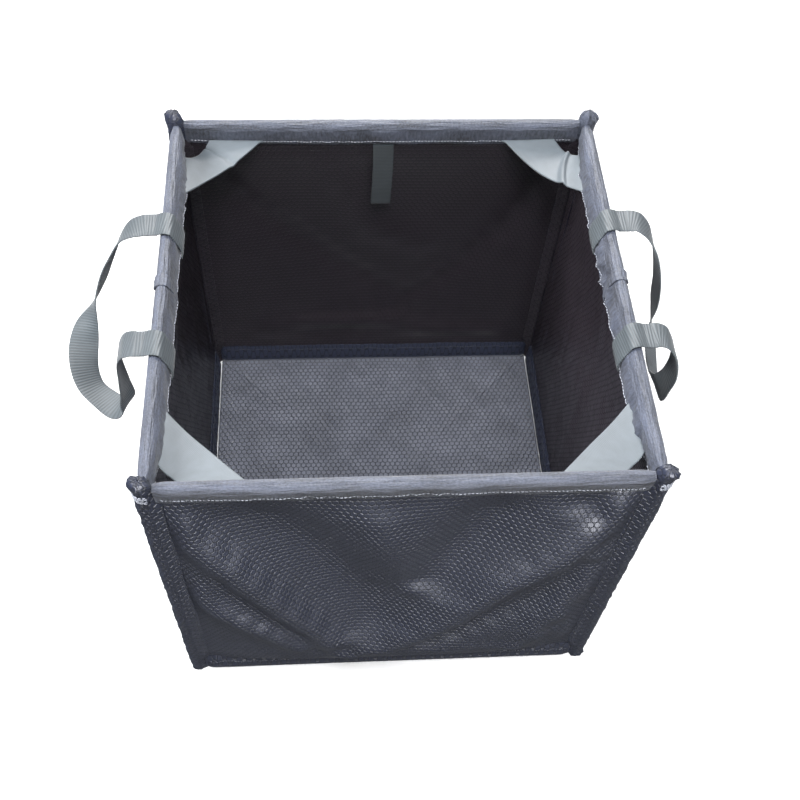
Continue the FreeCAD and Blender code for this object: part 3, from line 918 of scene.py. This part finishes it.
def side_shape(y, z, seed):
    """Wander of a side wall: long upright waves, stronger low down, with slanting
    folded noise."""
    up = share_up(z)
    edge = loose(up, y, (-0.02, 0.1), (0.88, 1.02), (170, 190))
    tall = crumple((y + 22 * noise(z / 90, y * 0, seed)) / 48, z / 210, seed + 1)
    small = crumple((y + z * 0.5) / 26, (z - y * 0.3) / 60, seed + 2)
    middle_line = np.exp(-((y / 5) ** 2))
    return sizes().side_belly * 1000 * edge * (1.5 * tall + 0.5 * small) - middle_line


def lift(z):
    """Share of the rim's inward lean that the wall still has at a height."""
    return ease(z, SEAM_HIGH - 100, SEAM_HIGH) ** 1.5


class ROPEBAG_OT_walls(Operator):
    """Hang the four slack walls between their seams"""

    bl_idname = "ropebag.walls"
    bl_options = {"REGISTER", "UNDO"}
    bl_label = "Walls"

    def execute(self, context):
        thick = sizes().cloth
        pair = [finish_of("wall"), finish_of("lining")]
        across, down = np.meshgrid(
            np.linspace(-CLOTH_END - SIDE_LAP, CLOTH_END + SIDE_LAP, 25),
            np.linspace(SEAM_LOW - LAP, SEAM_HIGH + LAP, 22),
        )
        for end, sign in ENDS.items():
            shape = front_shape if end == "front" else back_shape
            push = shape(across, down) - LEAN[end] * lift(down) * corner_fade(across)
            points = np.stack([across, sign * (WALL + push), down], -1)
            cut = (354, 386) if end == "front" else (349, 383)
            inward, outward = (9, 26.5) if end == "front" else (2, 20)
            points = settle(
                points,
                cut,
                (18, 9, 5, 3),
                (0, sign * 0.02, -0.18),
                WALL - inward - LEAN[end],
                WALL + outward,
                (0, sign, 0),
            )
            piece = cloth(f"{end}_wall_cloth", points, (0, sign, 0), cut, pair, thick)
            place(piece, f"{end}_frame", "wall cloth", [f"{end}_wall"])
        across, down = np.meshgrid(
            np.linspace(-190, 190, 171),
            np.linspace(SEAM_LOW - LAP, SEAM_HIGH + LAP, 140),
        )
        for side, sign in SIDES.items():
            push = side_shape(across, down, 50 + sign)
            push = push - LEAN[side] * lift(down) * corner_fade(across)
            points = np.stack([sign * (WALL + push), across, down], -1)
            piece = cloth(
                f"{side}_wall_cloth", points, (sign, 0, 0), (336, 380), pair, thick
            )
            bend(
                piece,
                [f"{side}_front_half_wall", f"{side}_back_half_wall"],
            )
        return {"FINISHED"}


class ROPEBAG_OT_hems(Operator):
    """Sew the rim and foot hems round their rods"""

    bl_idname = "ropebag.hems"
    bl_options = {"REGISTER", "UNDO"}
    bl_label = "Hems"

    def execute(self, context):
        for level, z, up, material in (
            ("rim", RIM, 1, "hem"), ("bottom", BASE, -1, "wall")
        ):
            height = sizes().hem_crease * 1000
            for end, sign in ENDS.items():
                hem(
                    f"{end}_{level}_hem",
                    (-HEM_END, HEM_END),
                    (0, sign * WALL, z),
                    (1, 0, 0),
                    (0, sign, 0),
                    (0, 0, up),
                    LEAN[end] if level == "rim" else 0,
                    100 + sign + 7 * up,
                    material,
                    height * (1.0 if end == "back" else 0.75),
                    f"{end}_frame",
                    [f"{end}_{level}_sleeve"],
                )
            for side, out in SIDES.items():
                for end, sign in ENDS.items():
                    body = f"{side}_{end}_half"
                    hem(
                        f"{body}_{level}_hem",
                        (0.6, HEM_END),
                        (out * WALL, 0, z),
                        (0, sign, 0),
                        (out, 0, 0),
                        (0, 0, up),
                        LEAN[side] if level == "rim" else 0,
                        120 + 10 * out + 3 * sign + up,
                        material,
                        height * (1.5 if side == "right" else 1.1),
                        body,
                        [f"{body}_{level}_sleeve"],
                    )
                self.collar(side, out, level, z, up, material)
        return {"FINISHED"}

    def collar(self, side, out, level, z, up, material):
        """A short wrap over the break between the two halves, a little larger than the
        hem; its edge runs on a slant, y = 6 + 0.12 times the height."""
        depth = RIM - SEAM_HIGH
        a, b = teardrop(depth + 0.4, SLEEVE + 0.7, 1.7)
        inner_a, inner_b = teardrop(depth, SLEEVE + 0.1, 1.2)
        if level == "rim":
            a = leaned(a, b, depth, LEAN[side])
            inner_a = leaned(inner_a, inner_b, depth, LEAN[side])
        t = np.linspace(-1, 1, 25)[:, None]
        y = t * (5.5 + 0.12 * b[None]) + 0.25 * b[None]
        wave = crumple(y / 6, b[None] / 9 + np.sign(a)[None] * 4, 77 + out + up)
        rings = np.stack(
            [
                out * (WALL + a[None] + np.sign(a)[None] * (0.5 + wave) * 1.1),
                y,
                z + up * (b[None] + 0 * t),
            ],
            -1,
        )
        core = np.stack(
            [out * (WALL + inner_a[None] + 0 * t), y, z + up * (inner_b[None] + 0 * t)],
            -1,
        )
        piece = sleeve(
            f"{side}_{level}_collar", rings, core, (11, 58), [finish_of(material)]
        )
        bend(
            piece,
        )


class ROPEBAG_OT_corners(Operator):
    """Wrap the upright corner sleeves round their rods"""

    bl_idname = "ropebag.corners"
    bl_options = {"REGISTER", "UNDO"}
    bl_label = "Corner sleeves"

    # the cloth that shows at each sleeve's tip
    TIPS = {
        ("front", "left"): "wall",
        ("front", "right"): "wall",
        ("back", "left"): "wall",
        ("back", "right"): "hem",
    }

    def execute(self, context):
        for side, sx in SIDES.items():
            for end, sy in ENDS.items():
                self.post(side, sx, end, sy)
                self.web(side, sx, end, sy)
        return {"FINISHED"}

    def post(self, side, sx, end, sy):
        """The teardrop section carried up the rod, its tail along the front or back
        wall. Above and below the hems the tail shortens, and past the rod's end the
        section shrinks as the root of 1 - t^2.6 to a crumpled, sewn-up tip that leans
        outward."""
        seed = 200 + 5 * sx + 3 * sy
        top, foot = POST_TOP + 1.0, 0.0
        z = np.linspace(foot, top, 210)[:, None]
        a, b = teardrop(11.5, SLEEVE, 1.0, 44)
        inner_a, inner_b = teardrop(10.3, SLEEVE - 0.8, 0.3, 44)
        ear = ease(z, RIM - 2, top) + 0.5 * (1 - ease(z, 0, BASE + 6))
        tip = np.clip((z - RIM - 2) / (top - RIM - 2), 0, 1)
        shut = np.sqrt(np.maximum(1 - tip**2.6, 0.0)) * 0.94 + 0.06
        tail = 1 - 0.35 * ease(z, SEAM_HIGH - 8, SEAM_HIGH + 6)
        tail = tail - 0.35 * (1 - ease(z, SEAM_LOW - 6, SEAM_LOW + 8))
        below = b[None] < 0
        turn = np.arctan2(b, a)[None] / np.pi * 3
        wave = crumple(turn + z / 60, z / 16, seed)
        knot = crumple(turn * 1.7 + z / 14, z / 7, seed + 4)
        swell = 1.5 * wave + ear * (0.6 + 4.6 * knot)
        reach = np.hypot(a, b)[None]

        def shaped(p, q):
            q = np.where(below, q[None] * tail, q[None] * 1.55)
            grow = 1 + np.maximum(swell, -0.7) / np.maximum(reach, SLEEVE)
            p, q = p[None] * grow, q * (1 + (grow - 1) * np.where(below, 0.4, 1.0))
            p, q = p * shut, q * shut
            way = ear * 0.5 * np.sign(sx * sy)
            p, q = p * np.cos(way) - q * np.sin(way), p * np.sin(way) + q * np.cos(way)
            slump = 2.2 * ear * crumple(turn * 0.6, z * 0 + 2.5, seed + 8) * tip
            x = sx * (POST + q + 1.6 * tip)
            y = sy * (POST + p + 1.2 * tip)
            return np.stack([x, y, z + slump], -1)

        piece = sleeve(
            f"{end}_{side}_corner_tube",
            shaped(a, b),
            shaped(inner_a, inner_b),
            (top, 58),
            [finish_of("wall"), finish_of("lining"), finish_of(self.TIPS[end, side])],
        )
        faces = piece.data.polygons
        centre = np.empty(len(faces) * 3, np.float32)
        faces.foreach_get("center", centre)
        centre = centre.reshape(-1, 3) * 1000
        inside = (np.abs(centre[:, 1]) < WALL) & (np.abs(centre[:, 0]) < WALL)
        index = inside.astype(np.int32)
        faces.foreach_set(
            "material_index", np.where(centre[:, 2] > SEAM_HIGH + 4, 2, index)
        )
        place(piece, f"{end}_frame", "hem cloth", [f"{end}_{side}_corner_sleeve"])
        height = np.linspace(SEAM_LOW + 6, SEAM_HIGH - 6, 60)
        path = np.stack(
            [
                sx * (POST - 9.0 + 0.5 * np.sin(height / 31)),
                np.full(60, sy * (POST + 2.6)),
                height,
            ],
            -1,
        )
        row = stitches(
            f"{end}_{side}_corner_stitching",
            path,
            np.tile([0.0, sy, 0.0], (60, 1)),
            [finish_of("dark thread")],
            sizes().stitch * 1000,
        )
        place(row, f"{end}_frame", "hem cloth")
        self.knot(side, sx, end, sy)

    def knot(self, side, sx, end, sy):
        """The bar of thread that shuts the tip: a zigzag, 4 turns up the outer
        corner."""
        t = np.linspace(0, 1, 60)
        swing = np.pi / 4 + 1.1 * np.cos(8 * np.pi * t)
        around = SLEEVE + 3.0
        path = np.stack(
            [
                sx * (POST + around * np.cos(swing)),
                sy * (POST + around * np.sin(swing)),
                RIM - 6 + 9 * t,
            ],
            -1,
        )
        normal = np.stack([sx * np.cos(swing), sy * np.sin(swing), 0 * t], -1)
        row = stitches(
            f"{end}_{side}_tip_stitching",
            path,
            normal,
            [finish_of("thread")],
            sizes().stitch * 1000,
        )
        place(row, f"{end}_frame", "hem cloth")

    def web(self, side, sx, end, sy):
        """A strip of cloth from the corner sleeve to the side wall, slightly bowed out."""
        y, z = np.meshgrid(np.linspace(178, 194, 17), np.linspace(22, 360, 120))
        bow = 0.9 + 0.8 * crumple(y / 11, z / 30, 260 + sx + sy)
        bow = bow * (1 - ease(y, 190, 194))
        points = np.stack([sx * (WALL + bow), sy * y, z], -1)
        piece = cloth(
            f"{end}_{side}_corner_web",
            points,
            (sx, 0, 0),
            (338, 16),
            [finish_of("wall"), finish_of("lining")],
            sizes().cloth,
        )
        frame_body, half = f"{end}_frame", f"{side}_{end}_half"
        if (side, end) == ("right", "back"):
            flatten(piece, frame_body)
        elif end == "front":
            bend(piece)
        else:
            bend(piece)


class ROPEBAG_OT_straps(Operator):
    """Sew the webbing straps across the four corners of the rim"""

    bl_idname = "ropebag.straps"
    bl_options = {"REGISTER", "UNDO"}
    bl_label = "Corner straps"

    # how far each strap hangs in its middle, then at its inner edge, its fold and where
    SAGS = {
        ("front", "left"): (0.2, 0.35, 0.0, 0.5),
        ("front", "right"): (0.1, 0.22, 0.0, 0.5),
        ("back", "left"): (0.9, 0.5, 2.0, 0.3),
        ("back", "right"): (0.7, 1.1, -3.0, 0.62),
    }

    def execute(self, context):
        low, high = corners("front_left_corner_strap")
        reach, edge = high[0] - low[0], 1.6 - low[0]
        for (end, side), (outer_sag, inner_sag, fold, at) in self.SAGS.items():
            sx, sy = SIDES[side], ENDS[end]
            u, v = np.meshgrid(
                np.linspace(0, 1, 70), np.linspace(0, 1, 36), indexing="ij"
            )
            leg = 24 + v * (reach - 24)
            on_wall = np.stack([edge - 1.6 - leg, edge + 0 * leg], -1)
            on_side = np.stack([edge + 0 * leg, edge - 1.6 - leg], -1)
            flat = on_wall * (1 - u[..., None]) + on_side * u[..., None]
            flat = flat + 1.2 * np.sin(np.pi * ease(u, 0.4, 1.0))[..., None] * [1, 0]
            sag = (outer_sag * (1 - v) + inner_sag * v) * sizes().strap_sag * 1000
            dip = np.sin(np.pi * u) ** 1.1 * sag
            line = at + 0.16 * (v - 0.5)
            dip = dip + fold * np.exp(-(((u - line) / 0.035) ** 2))
            hang = 3.5 * np.exp(-((u / 0.03) ** 2)) + 3.5 * np.exp(
                -(((1 - u) / 0.03) ** 2)
            )
            z = STRAP_Z + 1.5 - dip - hang
            points = np.stack([sx * flat[..., 0], sy * flat[..., 1], z], -1)
            piece = cloth(
                f"{end}_{side}_corner_webbing",
                points,
                (0, 0, 1),
                (150, 52),
                [finish_of("webbing")],
                sizes().webbing,
            )
            nodes = [f"{end}_{side}_corner_strap"]
            flatten(piece, f"{end}_frame", nodes)
        return {"FINISHED"}


class ROPEBAG_OT_handles(Operator):
    """Make the two webbing handles and the tabs that hold them to the rim"""

    bl_idname = "ropebag.handles"
    bl_options = {"REGISTER", "UNDO"}
    bl_label = "Handles"

    def execute(self, context):
        for side, sx in SIDES.items():
            for end, sy in ENDS.items():
                self.tab(side, sx, end, sy)
                self.neck(side, sx, end, sy)
        for side, line in (("left", LEFT_HANDLE), ("right", RIGHT_HANDLE)):
            piece = ribbon(
                f"{side}_handle_webbing",
                np.array([point for point, _ in line], float),
                np.array([way for _, way in line], float),
                25,
                sizes().webbing * 1000,
                [finish_of("handle")],
                count=190,
            )
            flatten(
                piece,
                f"{side}_handle",
                [f"{side}_handle_loop"],
            )
        return {"FINISHED"}

    def tab(self, side, sx, end, sy):
        """Webbing from the inner seam up over the rim, to where the handle starts."""
        inward = LEAN[side]
        outline = (
            (-inward - 2.6, -19.5),
            (-inward - 4.2, -12),
            (-inward * 0.5 - 6.6, -5),
            (-7.6, 1),
            (-4.5, 6.4),
            (0.3, 8.1),
            (5.0, 7.2),
            (NECK_IN - WALL + 0.5, NECK_Z - RIM + 0.7),
            (NECK_IN - WALL + 2.5, NECK_Z - RIM + 0.5),
        )
        slip = np.array([-8.0, -6.5, -5.0, -3.6, -2.4, -1.4, -0.6, -0.2, 0.0])
        path = np.array(
            [
                (sx * (WALL + a), sy * TAB_Y + shift, RIM + b)
                for (a, b), shift in zip(outline, slip)
            ]
        )
        across = np.tile([0.0, 1.0, 0.0], (len(path), 1))
        piece = ribbon(
            f"{side}_{end}_handle_tab",
            path,
            across,
            25,
            sizes().webbing * 1000,
            [finish_of("handle")],
            count=60,
        )
        place(piece, f"{side}_{end}_half", "webbing", [f"{side}_handle_{end}_tab"])

    def neck(self, side, sx, end, sy):
        """The first short stretch of each strand, which turns as the bag folds."""
        x = np.linspace(NECK_IN - 0.5, NECK_OUT + 0.6, 4)
        path = np.stack([sx * x, np.full(4, sy * TAB_Y), np.full(4, NECK_Z)], -1)
        piece = ribbon(
            f"{side}_{end}_handle_neck",
            path,
            np.tile([0.0, 1.0, 0.0], (4, 1)),
            25,
            sizes().webbing * 1000,
            [finish_of("handle")],
            count=14,
        )
        nodes = [f"{side}_handle_neck"] if end == "front" else ()
        flatten(piece, f"{side}_handle_neck", nodes)


# each handle from its front end to its back end: the middle of the webbing, in mm, and
# the way its width points
LEFT_HANDLE = (
    ((-212.4, -65, 382.7), (0, 1, 0)),
    ((-217, -64.5, 382.4), (0, 1, 0)),
    ((-225, -62, 376), (0, 1, 0)),
    ((-231, -60, 362), (0, 1, 0)),
    ((-233, -61, 342), (0, 1, 0)),
    ((-232, -66, 320), (0.15, 1, 0.1)),
    ((-232, -71, 306), (0.4, 0.9, 0.1)),
    ((-240, -72, 300), (0.6, 0.8, 0)),
    ((-253, -63, 301), (0.66, 0.7, -0.25)),
    ((-265, -52, 305), (0.8, 0.42, -0.45)),
    ((-271, -38, 312), (0.88, 0.1, -0.5)),
    ((-272, -22, 320), (0.95, -0.1, -0.3)),
    ((-269, -4, 331), (0.85, -0.35, 0.3)),
    ((-262, 14, 342), (0.3, -0.5, 0.8)),
    ((-254, 31, 354), (0, -0.6, 0.8)),
    ((-246, 45, 365), (0, -0.75, 0.65)),
    ((-238, 56, 375), (0, -0.9, 0.4)),
    ((-228, 62, 381), (0, -1, 0.1)),
    ((-218, 64.5, 382.9), (0, -1, 0)),
    ((-212.4, 65, 382.7), (0, -1, 0)),
)
RIGHT_HANDLE = (
    ((212.4, -65, 382.7), (0, -1, 0)),
    ((219, -64.5, 383.2), (0, -1, 0)),
    ((227, -67, 380), (0, -1, 0)),
    ((234, -72, 369), (0, -1, 0)),
    ((236, -77, 353), (0, -1, 0)),
    ((233, -80, 338), (0, -1, -0.1)),
    ((231, -76, 322), (0.2, -0.7, -0.6)),
    ((234, -58, 308), (0.5, -0.3, -0.8)),
    ((239, -32, 300), (0.6, 0, -0.8)),
    ((243, -8, 300), (0.6, 0.2, -0.8)),
    ((245, 10, 308), (0.3, 0.6, -0.7)),
    ((246, 21, 325), (0, 0.85, -0.5)),
    ((245, 30, 345), (0, 0.9, -0.4)),
    ((241, 41, 364), (0, 1, -0.2)),
    ((234, 53, 377), (0, 1, 0)),
    ((226, 61, 383), (0, 1, 0)),
    ((218, 64.5, 383.6), (0, 1, 0)),
    ((212.4, 65, 382.7), (0, 1, 0)),
)


class ROPEBAG_OT_gear_loop(Operator):
    """Hang the doubled webbing loop inside the back wall"""

    bl_idname = "ropebag.gear_loop"
    bl_options = {"REGISTER", "UNDO"}
    bl_label = "Gear loop"

    def execute(self, context):
        inward = LEAN["back"] - 0.5
        y_wall, y_in = GEAR_HIGH[1] - 0.9 - inward, GEAR_LOW[1] + 0.9 - inward
        top, foot = GEAR_HIGH[2], GEAR_LOW[2]
        path = [
            (0, y_wall, top),
            (0.4, y_wall, top - 26),
            (0, y_wall, top - 52),
            (-0.5, y_wall, foot + 6),
            (-0.5, y_wall - 0.3, foot + 1.6),
            (-0.5, (y_wall + y_in) / 2, foot + 0.4),
            (-0.5, y_in + 0.3, foot + 1.6),
            (-0.5, y_in, foot + 6),
            (0, y_in - 0.3, top - 52),
            (0.4, y_in, top - 26),
            (0, y_in + 0.4, top),
        ]
        piece = ribbon(
            "gear_loop_webbing",
            np.array(path, float),
            np.tile([1.0, 0.0, 0.0], (len(path), 1)),
            GEAR_HIGH[0] - GEAR_LOW[0],
            1.4,
            [finish_of("dark")],
            count=120,
        )
        place(piece, "gear_loop", "dark webbing", ["gear_loop"])
        return {"FINISHED"}


class ROPEBAG_OT_floor(Operator):
    """Lay the floor cloth, creased where it folds"""

    bl_idname = "ropebag.floor"
    bl_options = {"REGISTER", "UNDO"}
    bl_label = "Floor"

    def execute(self, context):
        e = HEM_END - 0.7
        panels = {
            "front": ("floor_front_panel", (-e, -e), (e, -e)),
            "back": ("floor_back_panel", (e, e), (-e, e)),
            "left_front": ("floor_left_front_panel", (-e, -0.2), (-e, -e)),
            "left_back": ("floor_left_back_panel", (-e, e), (-e, 0.2)),
            "right_front": ("floor_right_front_panel", (e, -e), (e, -0.2)),
            "right_back": ("floor_right_back_panel", (e, 0.2), (e, e)),
        }
        for body, (node, start, end) in panels.items():
            t, s = np.meshgrid(
                np.linspace(0, 0.996, 90),
                np.linspace(0, 1, 80 if "_" in body else 150),
                indexing="ij",
            )
            base = np.array(start) + (np.array(end) - np.array(start)) * s[..., None]
            xy = base * (1 - t[..., None])
            z = self.height(xy[..., 0], xy[..., 1])
            points = np.concatenate([xy, z[..., None]], -1)
            piece = self.panel(f"{body}_floor_cloth", points)
            place(piece, f"floor_{body}", "floor cloth", [node])
        return {"FINISHED"}

    def height(self, x, y):
        """Low swells, slanting folds and a shallow valley along each crease."""
        swell = 4.2 * crumple(x / 120 + y / 260, y / 105, 301)
        fold = 4.2 * crumple((x + 0.7 * y) / 44, (y - x) / 130, 305)
        rim = ease(HEM_END - np.maximum(np.abs(x), np.abs(y)), 0, 22)
        cross = np.minimum(np.abs(np.abs(x) - np.abs(y)) / 1.414, 30)
        across = np.where(np.abs(y) < np.abs(x), np.abs(y), 30)
        valley = np.exp(-((cross / 6) ** 2)) + np.exp(-((across / 6) ** 2))
        return FLOOR_Z + (swell + fold) * (0.2 + 0.8 * rim) - 0.45 * valley * rim

    def panel(self, name, points):
        """Texture places are the plan places, so the pads run on across the creases."""
        rows, cols = points.shape[:2]
        faces = quads(rows, cols)
        flat = points.reshape(-1, 3)
        a, b, c = (flat[faces[:, k]] for k in range(3))
        if np.cross(b - a, c - a)[:, 2].sum() < 0:
            faces = faces[:, ::-1]
        uv = flat[faces.ravel(), :2] / 1000 + 1.0
        piece = build(name, points, faces, uv, [finish_of("floor")])
        solid = piece.modifiers.new("cloth thickness", "SOLIDIFY")
        solid.thickness = 0.001
        solid.offset = 0
        return piece


class ROPEBAG_OT_rods(Operator):
    """Give the rods their fibreglass finish"""

    bl_idname = "ropebag.rods"
    bl_options = {"REGISTER", "UNDO"}
    bl_label = "Rods"

    def execute(self, context):
        for name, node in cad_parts.items():
            if name.endswith("_rod"):
                node.data.materials.clear()
                node.data.materials.append(finish_of("rod"))
        return {"FINISHED"}


class ROPEBAG_OT_stage(Operator):
    """Set the ground, the soft lights and the camera"""

    bl_idname = "ropebag.stage"
    bl_options = {"REGISTER", "UNDO"}
    bl_label = "Stage"

    def execute(self, context):
        scene = bpy.context.scene
        ground = build(
            "ground",
            np.array([(-1, -1, 0), (1, -1, 0), (1, 1, 0), (-1, 1, 0)]) * 60000.0
            - np.array([0, 0, 0.4]),
            np.array([[0, 1, 2, 3]]),
            np.zeros((4, 2)),
            [finish_of("ground")],
        )
        for glow, strength in (("ground", 0.35), ("backdrop", 0.97)):
            inputs = finish_of(glow).node_tree.nodes["Principled BSDF"].inputs
            inputs["Emission Color"].default_value = linear("#ffffff")
            inputs["Emission Strength"].default_value = strength
        backdrop = self.backdrop()
        # the papers only show: what they would throw back comes from the world instead
        for paper in (ground, backdrop):
            paper.visible_diffuse = paper.visible_glossy = False
        backdrop.visible_shadow = False
        world = bpy.data.worlds.new("pale room")
        world.use_nodes = True
        background = world.node_tree.nodes["Background"]
        background.inputs[0].default_value = linear("#e9eefa")
        background.inputs[1].default_value = 0.2
        scene.world = world
        # name, place and size in m, power in W
        for name, place_at, size, power in (
            ("key", (-2.0, 0.3, 1.7), 1.0, 84),
            ("top", (0.05, -0.66, 2.0), 0.6, 36),
            ("front", (0.2, -2.1, 0.5), 1.3, 90),
            ("back", (0.15, 1.45, 2.1), 0.6, 150),
            ("right", (2.4, 0.5, 0.7), 0.8, 20),
            ("rear", (-0.4, 2.4, 0.7), 0.8, 20),
        ):
            light = bpy.data.lights.new(name, "AREA")
            light.size, light.energy = size, power
            lamp = bpy.data.objects.new(name, light)
            lamp.location = place_at
            aim = Vector((0, 0, 0.2)) - Vector(place_at)
            lamp.rotation_euler = aim.to_track_quat("-Z", "Y").to_euler()
            # the front and back ones only glint on glossy cloth
            lamp.visible_diffuse = name not in ("front", "back")
            scene.collection.objects.link(lamp)
        camera = bpy.data.objects.new("camera", bpy.data.cameras.new("camera"))
        right = Vector((0.99749, -0.05420, 0.04560))
        up = Vector((0.01995, 0.83267, 0.55340))
        back = Vector((-0.06796, -0.55111, 0.83166))
        turn = Matrix((right, up, back)).transposed().to_4x4()
        camera.matrix_world = Matrix.Translation((-0.0578, -0.5763, 1.0648)) @ turn
        camera.data.sensor_width = 36
        camera.data.lens = 36 * 1036.7 / 800
        camera.data.clip_start = 0.02
        scene.collection.objects.link(camera)
        scene.camera = camera
        scene.view_settings.view_transform = "Standard"
        return {"FINISHED"}

    def backdrop(self):
        """A round sweep of paper: from 2 m out its height is 5 s^2 m, s from 0 to 1."""
        turn, s = np.meshgrid(
            np.linspace(0, 2 * np.pi, 72, endpoint=False), np.linspace(0, 1, 12)
        )
        far = 2000 + 4000 * s
        points = np.stack([far * np.cos(turn), far * np.sin(turn), 5000 * s**2], -1)
        faces = quads(12, 72, wrap=True)
        uv = np.zeros((faces.size, 2))
        return build("backdrop", points, faces, uv, [finish_of("backdrop")])


STEPS = (
    ROPEBAG_OT_walls,
    ROPEBAG_OT_hems,
    ROPEBAG_OT_corners,
    ROPEBAG_OT_straps,
    ROPEBAG_OT_handles,
    ROPEBAG_OT_gear_loop,
    ROPEBAG_OT_floor,
    ROPEBAG_OT_rods,
    ROPEBAG_OT_stage,
)


class ROPEBAG_PT_steps(Panel):
    """The bag's sizes, colours and steps"""

    bl_label = "Rope bag"
    bl_idname = "ROPEBAG_PT_steps"
    bl_space_type = "VIEW_3D"
    bl_region_type = "UI"
    bl_category = "Rope bag"

    def draw(self, context):
        for step in STEPS:
            self.layout.operator(step.bl_idname)
        for group in (sizes(), colours()):
            for name in group.__annotations__:
                self.layout.prop(group, name)


CLASSES = (BagSizes, BagColours, *STEPS, ROPEBAG_PT_steps)


def register():
    for item in CLASSES:
        bpy.utils.register_class(item)
    bpy.types.Scene.rope_bag_sizes = PointerProperty(type=BagSizes)
    bpy.types.Scene.rope_bag_colours = PointerProperty(type=BagColours)


def unregister():
    del bpy.types.Scene.rope_bag_colours
    del bpy.types.Scene.rope_bag_sizes
    for item in reversed(CLASSES):
        bpy.utils.unregister_class(item)


def main():
    register()
    for step in STEPS:
        group, call = step.bl_idname.split(".")
        getattr(getattr(bpy.ops, group), call)()


if __name__ == "__main__":
    main()
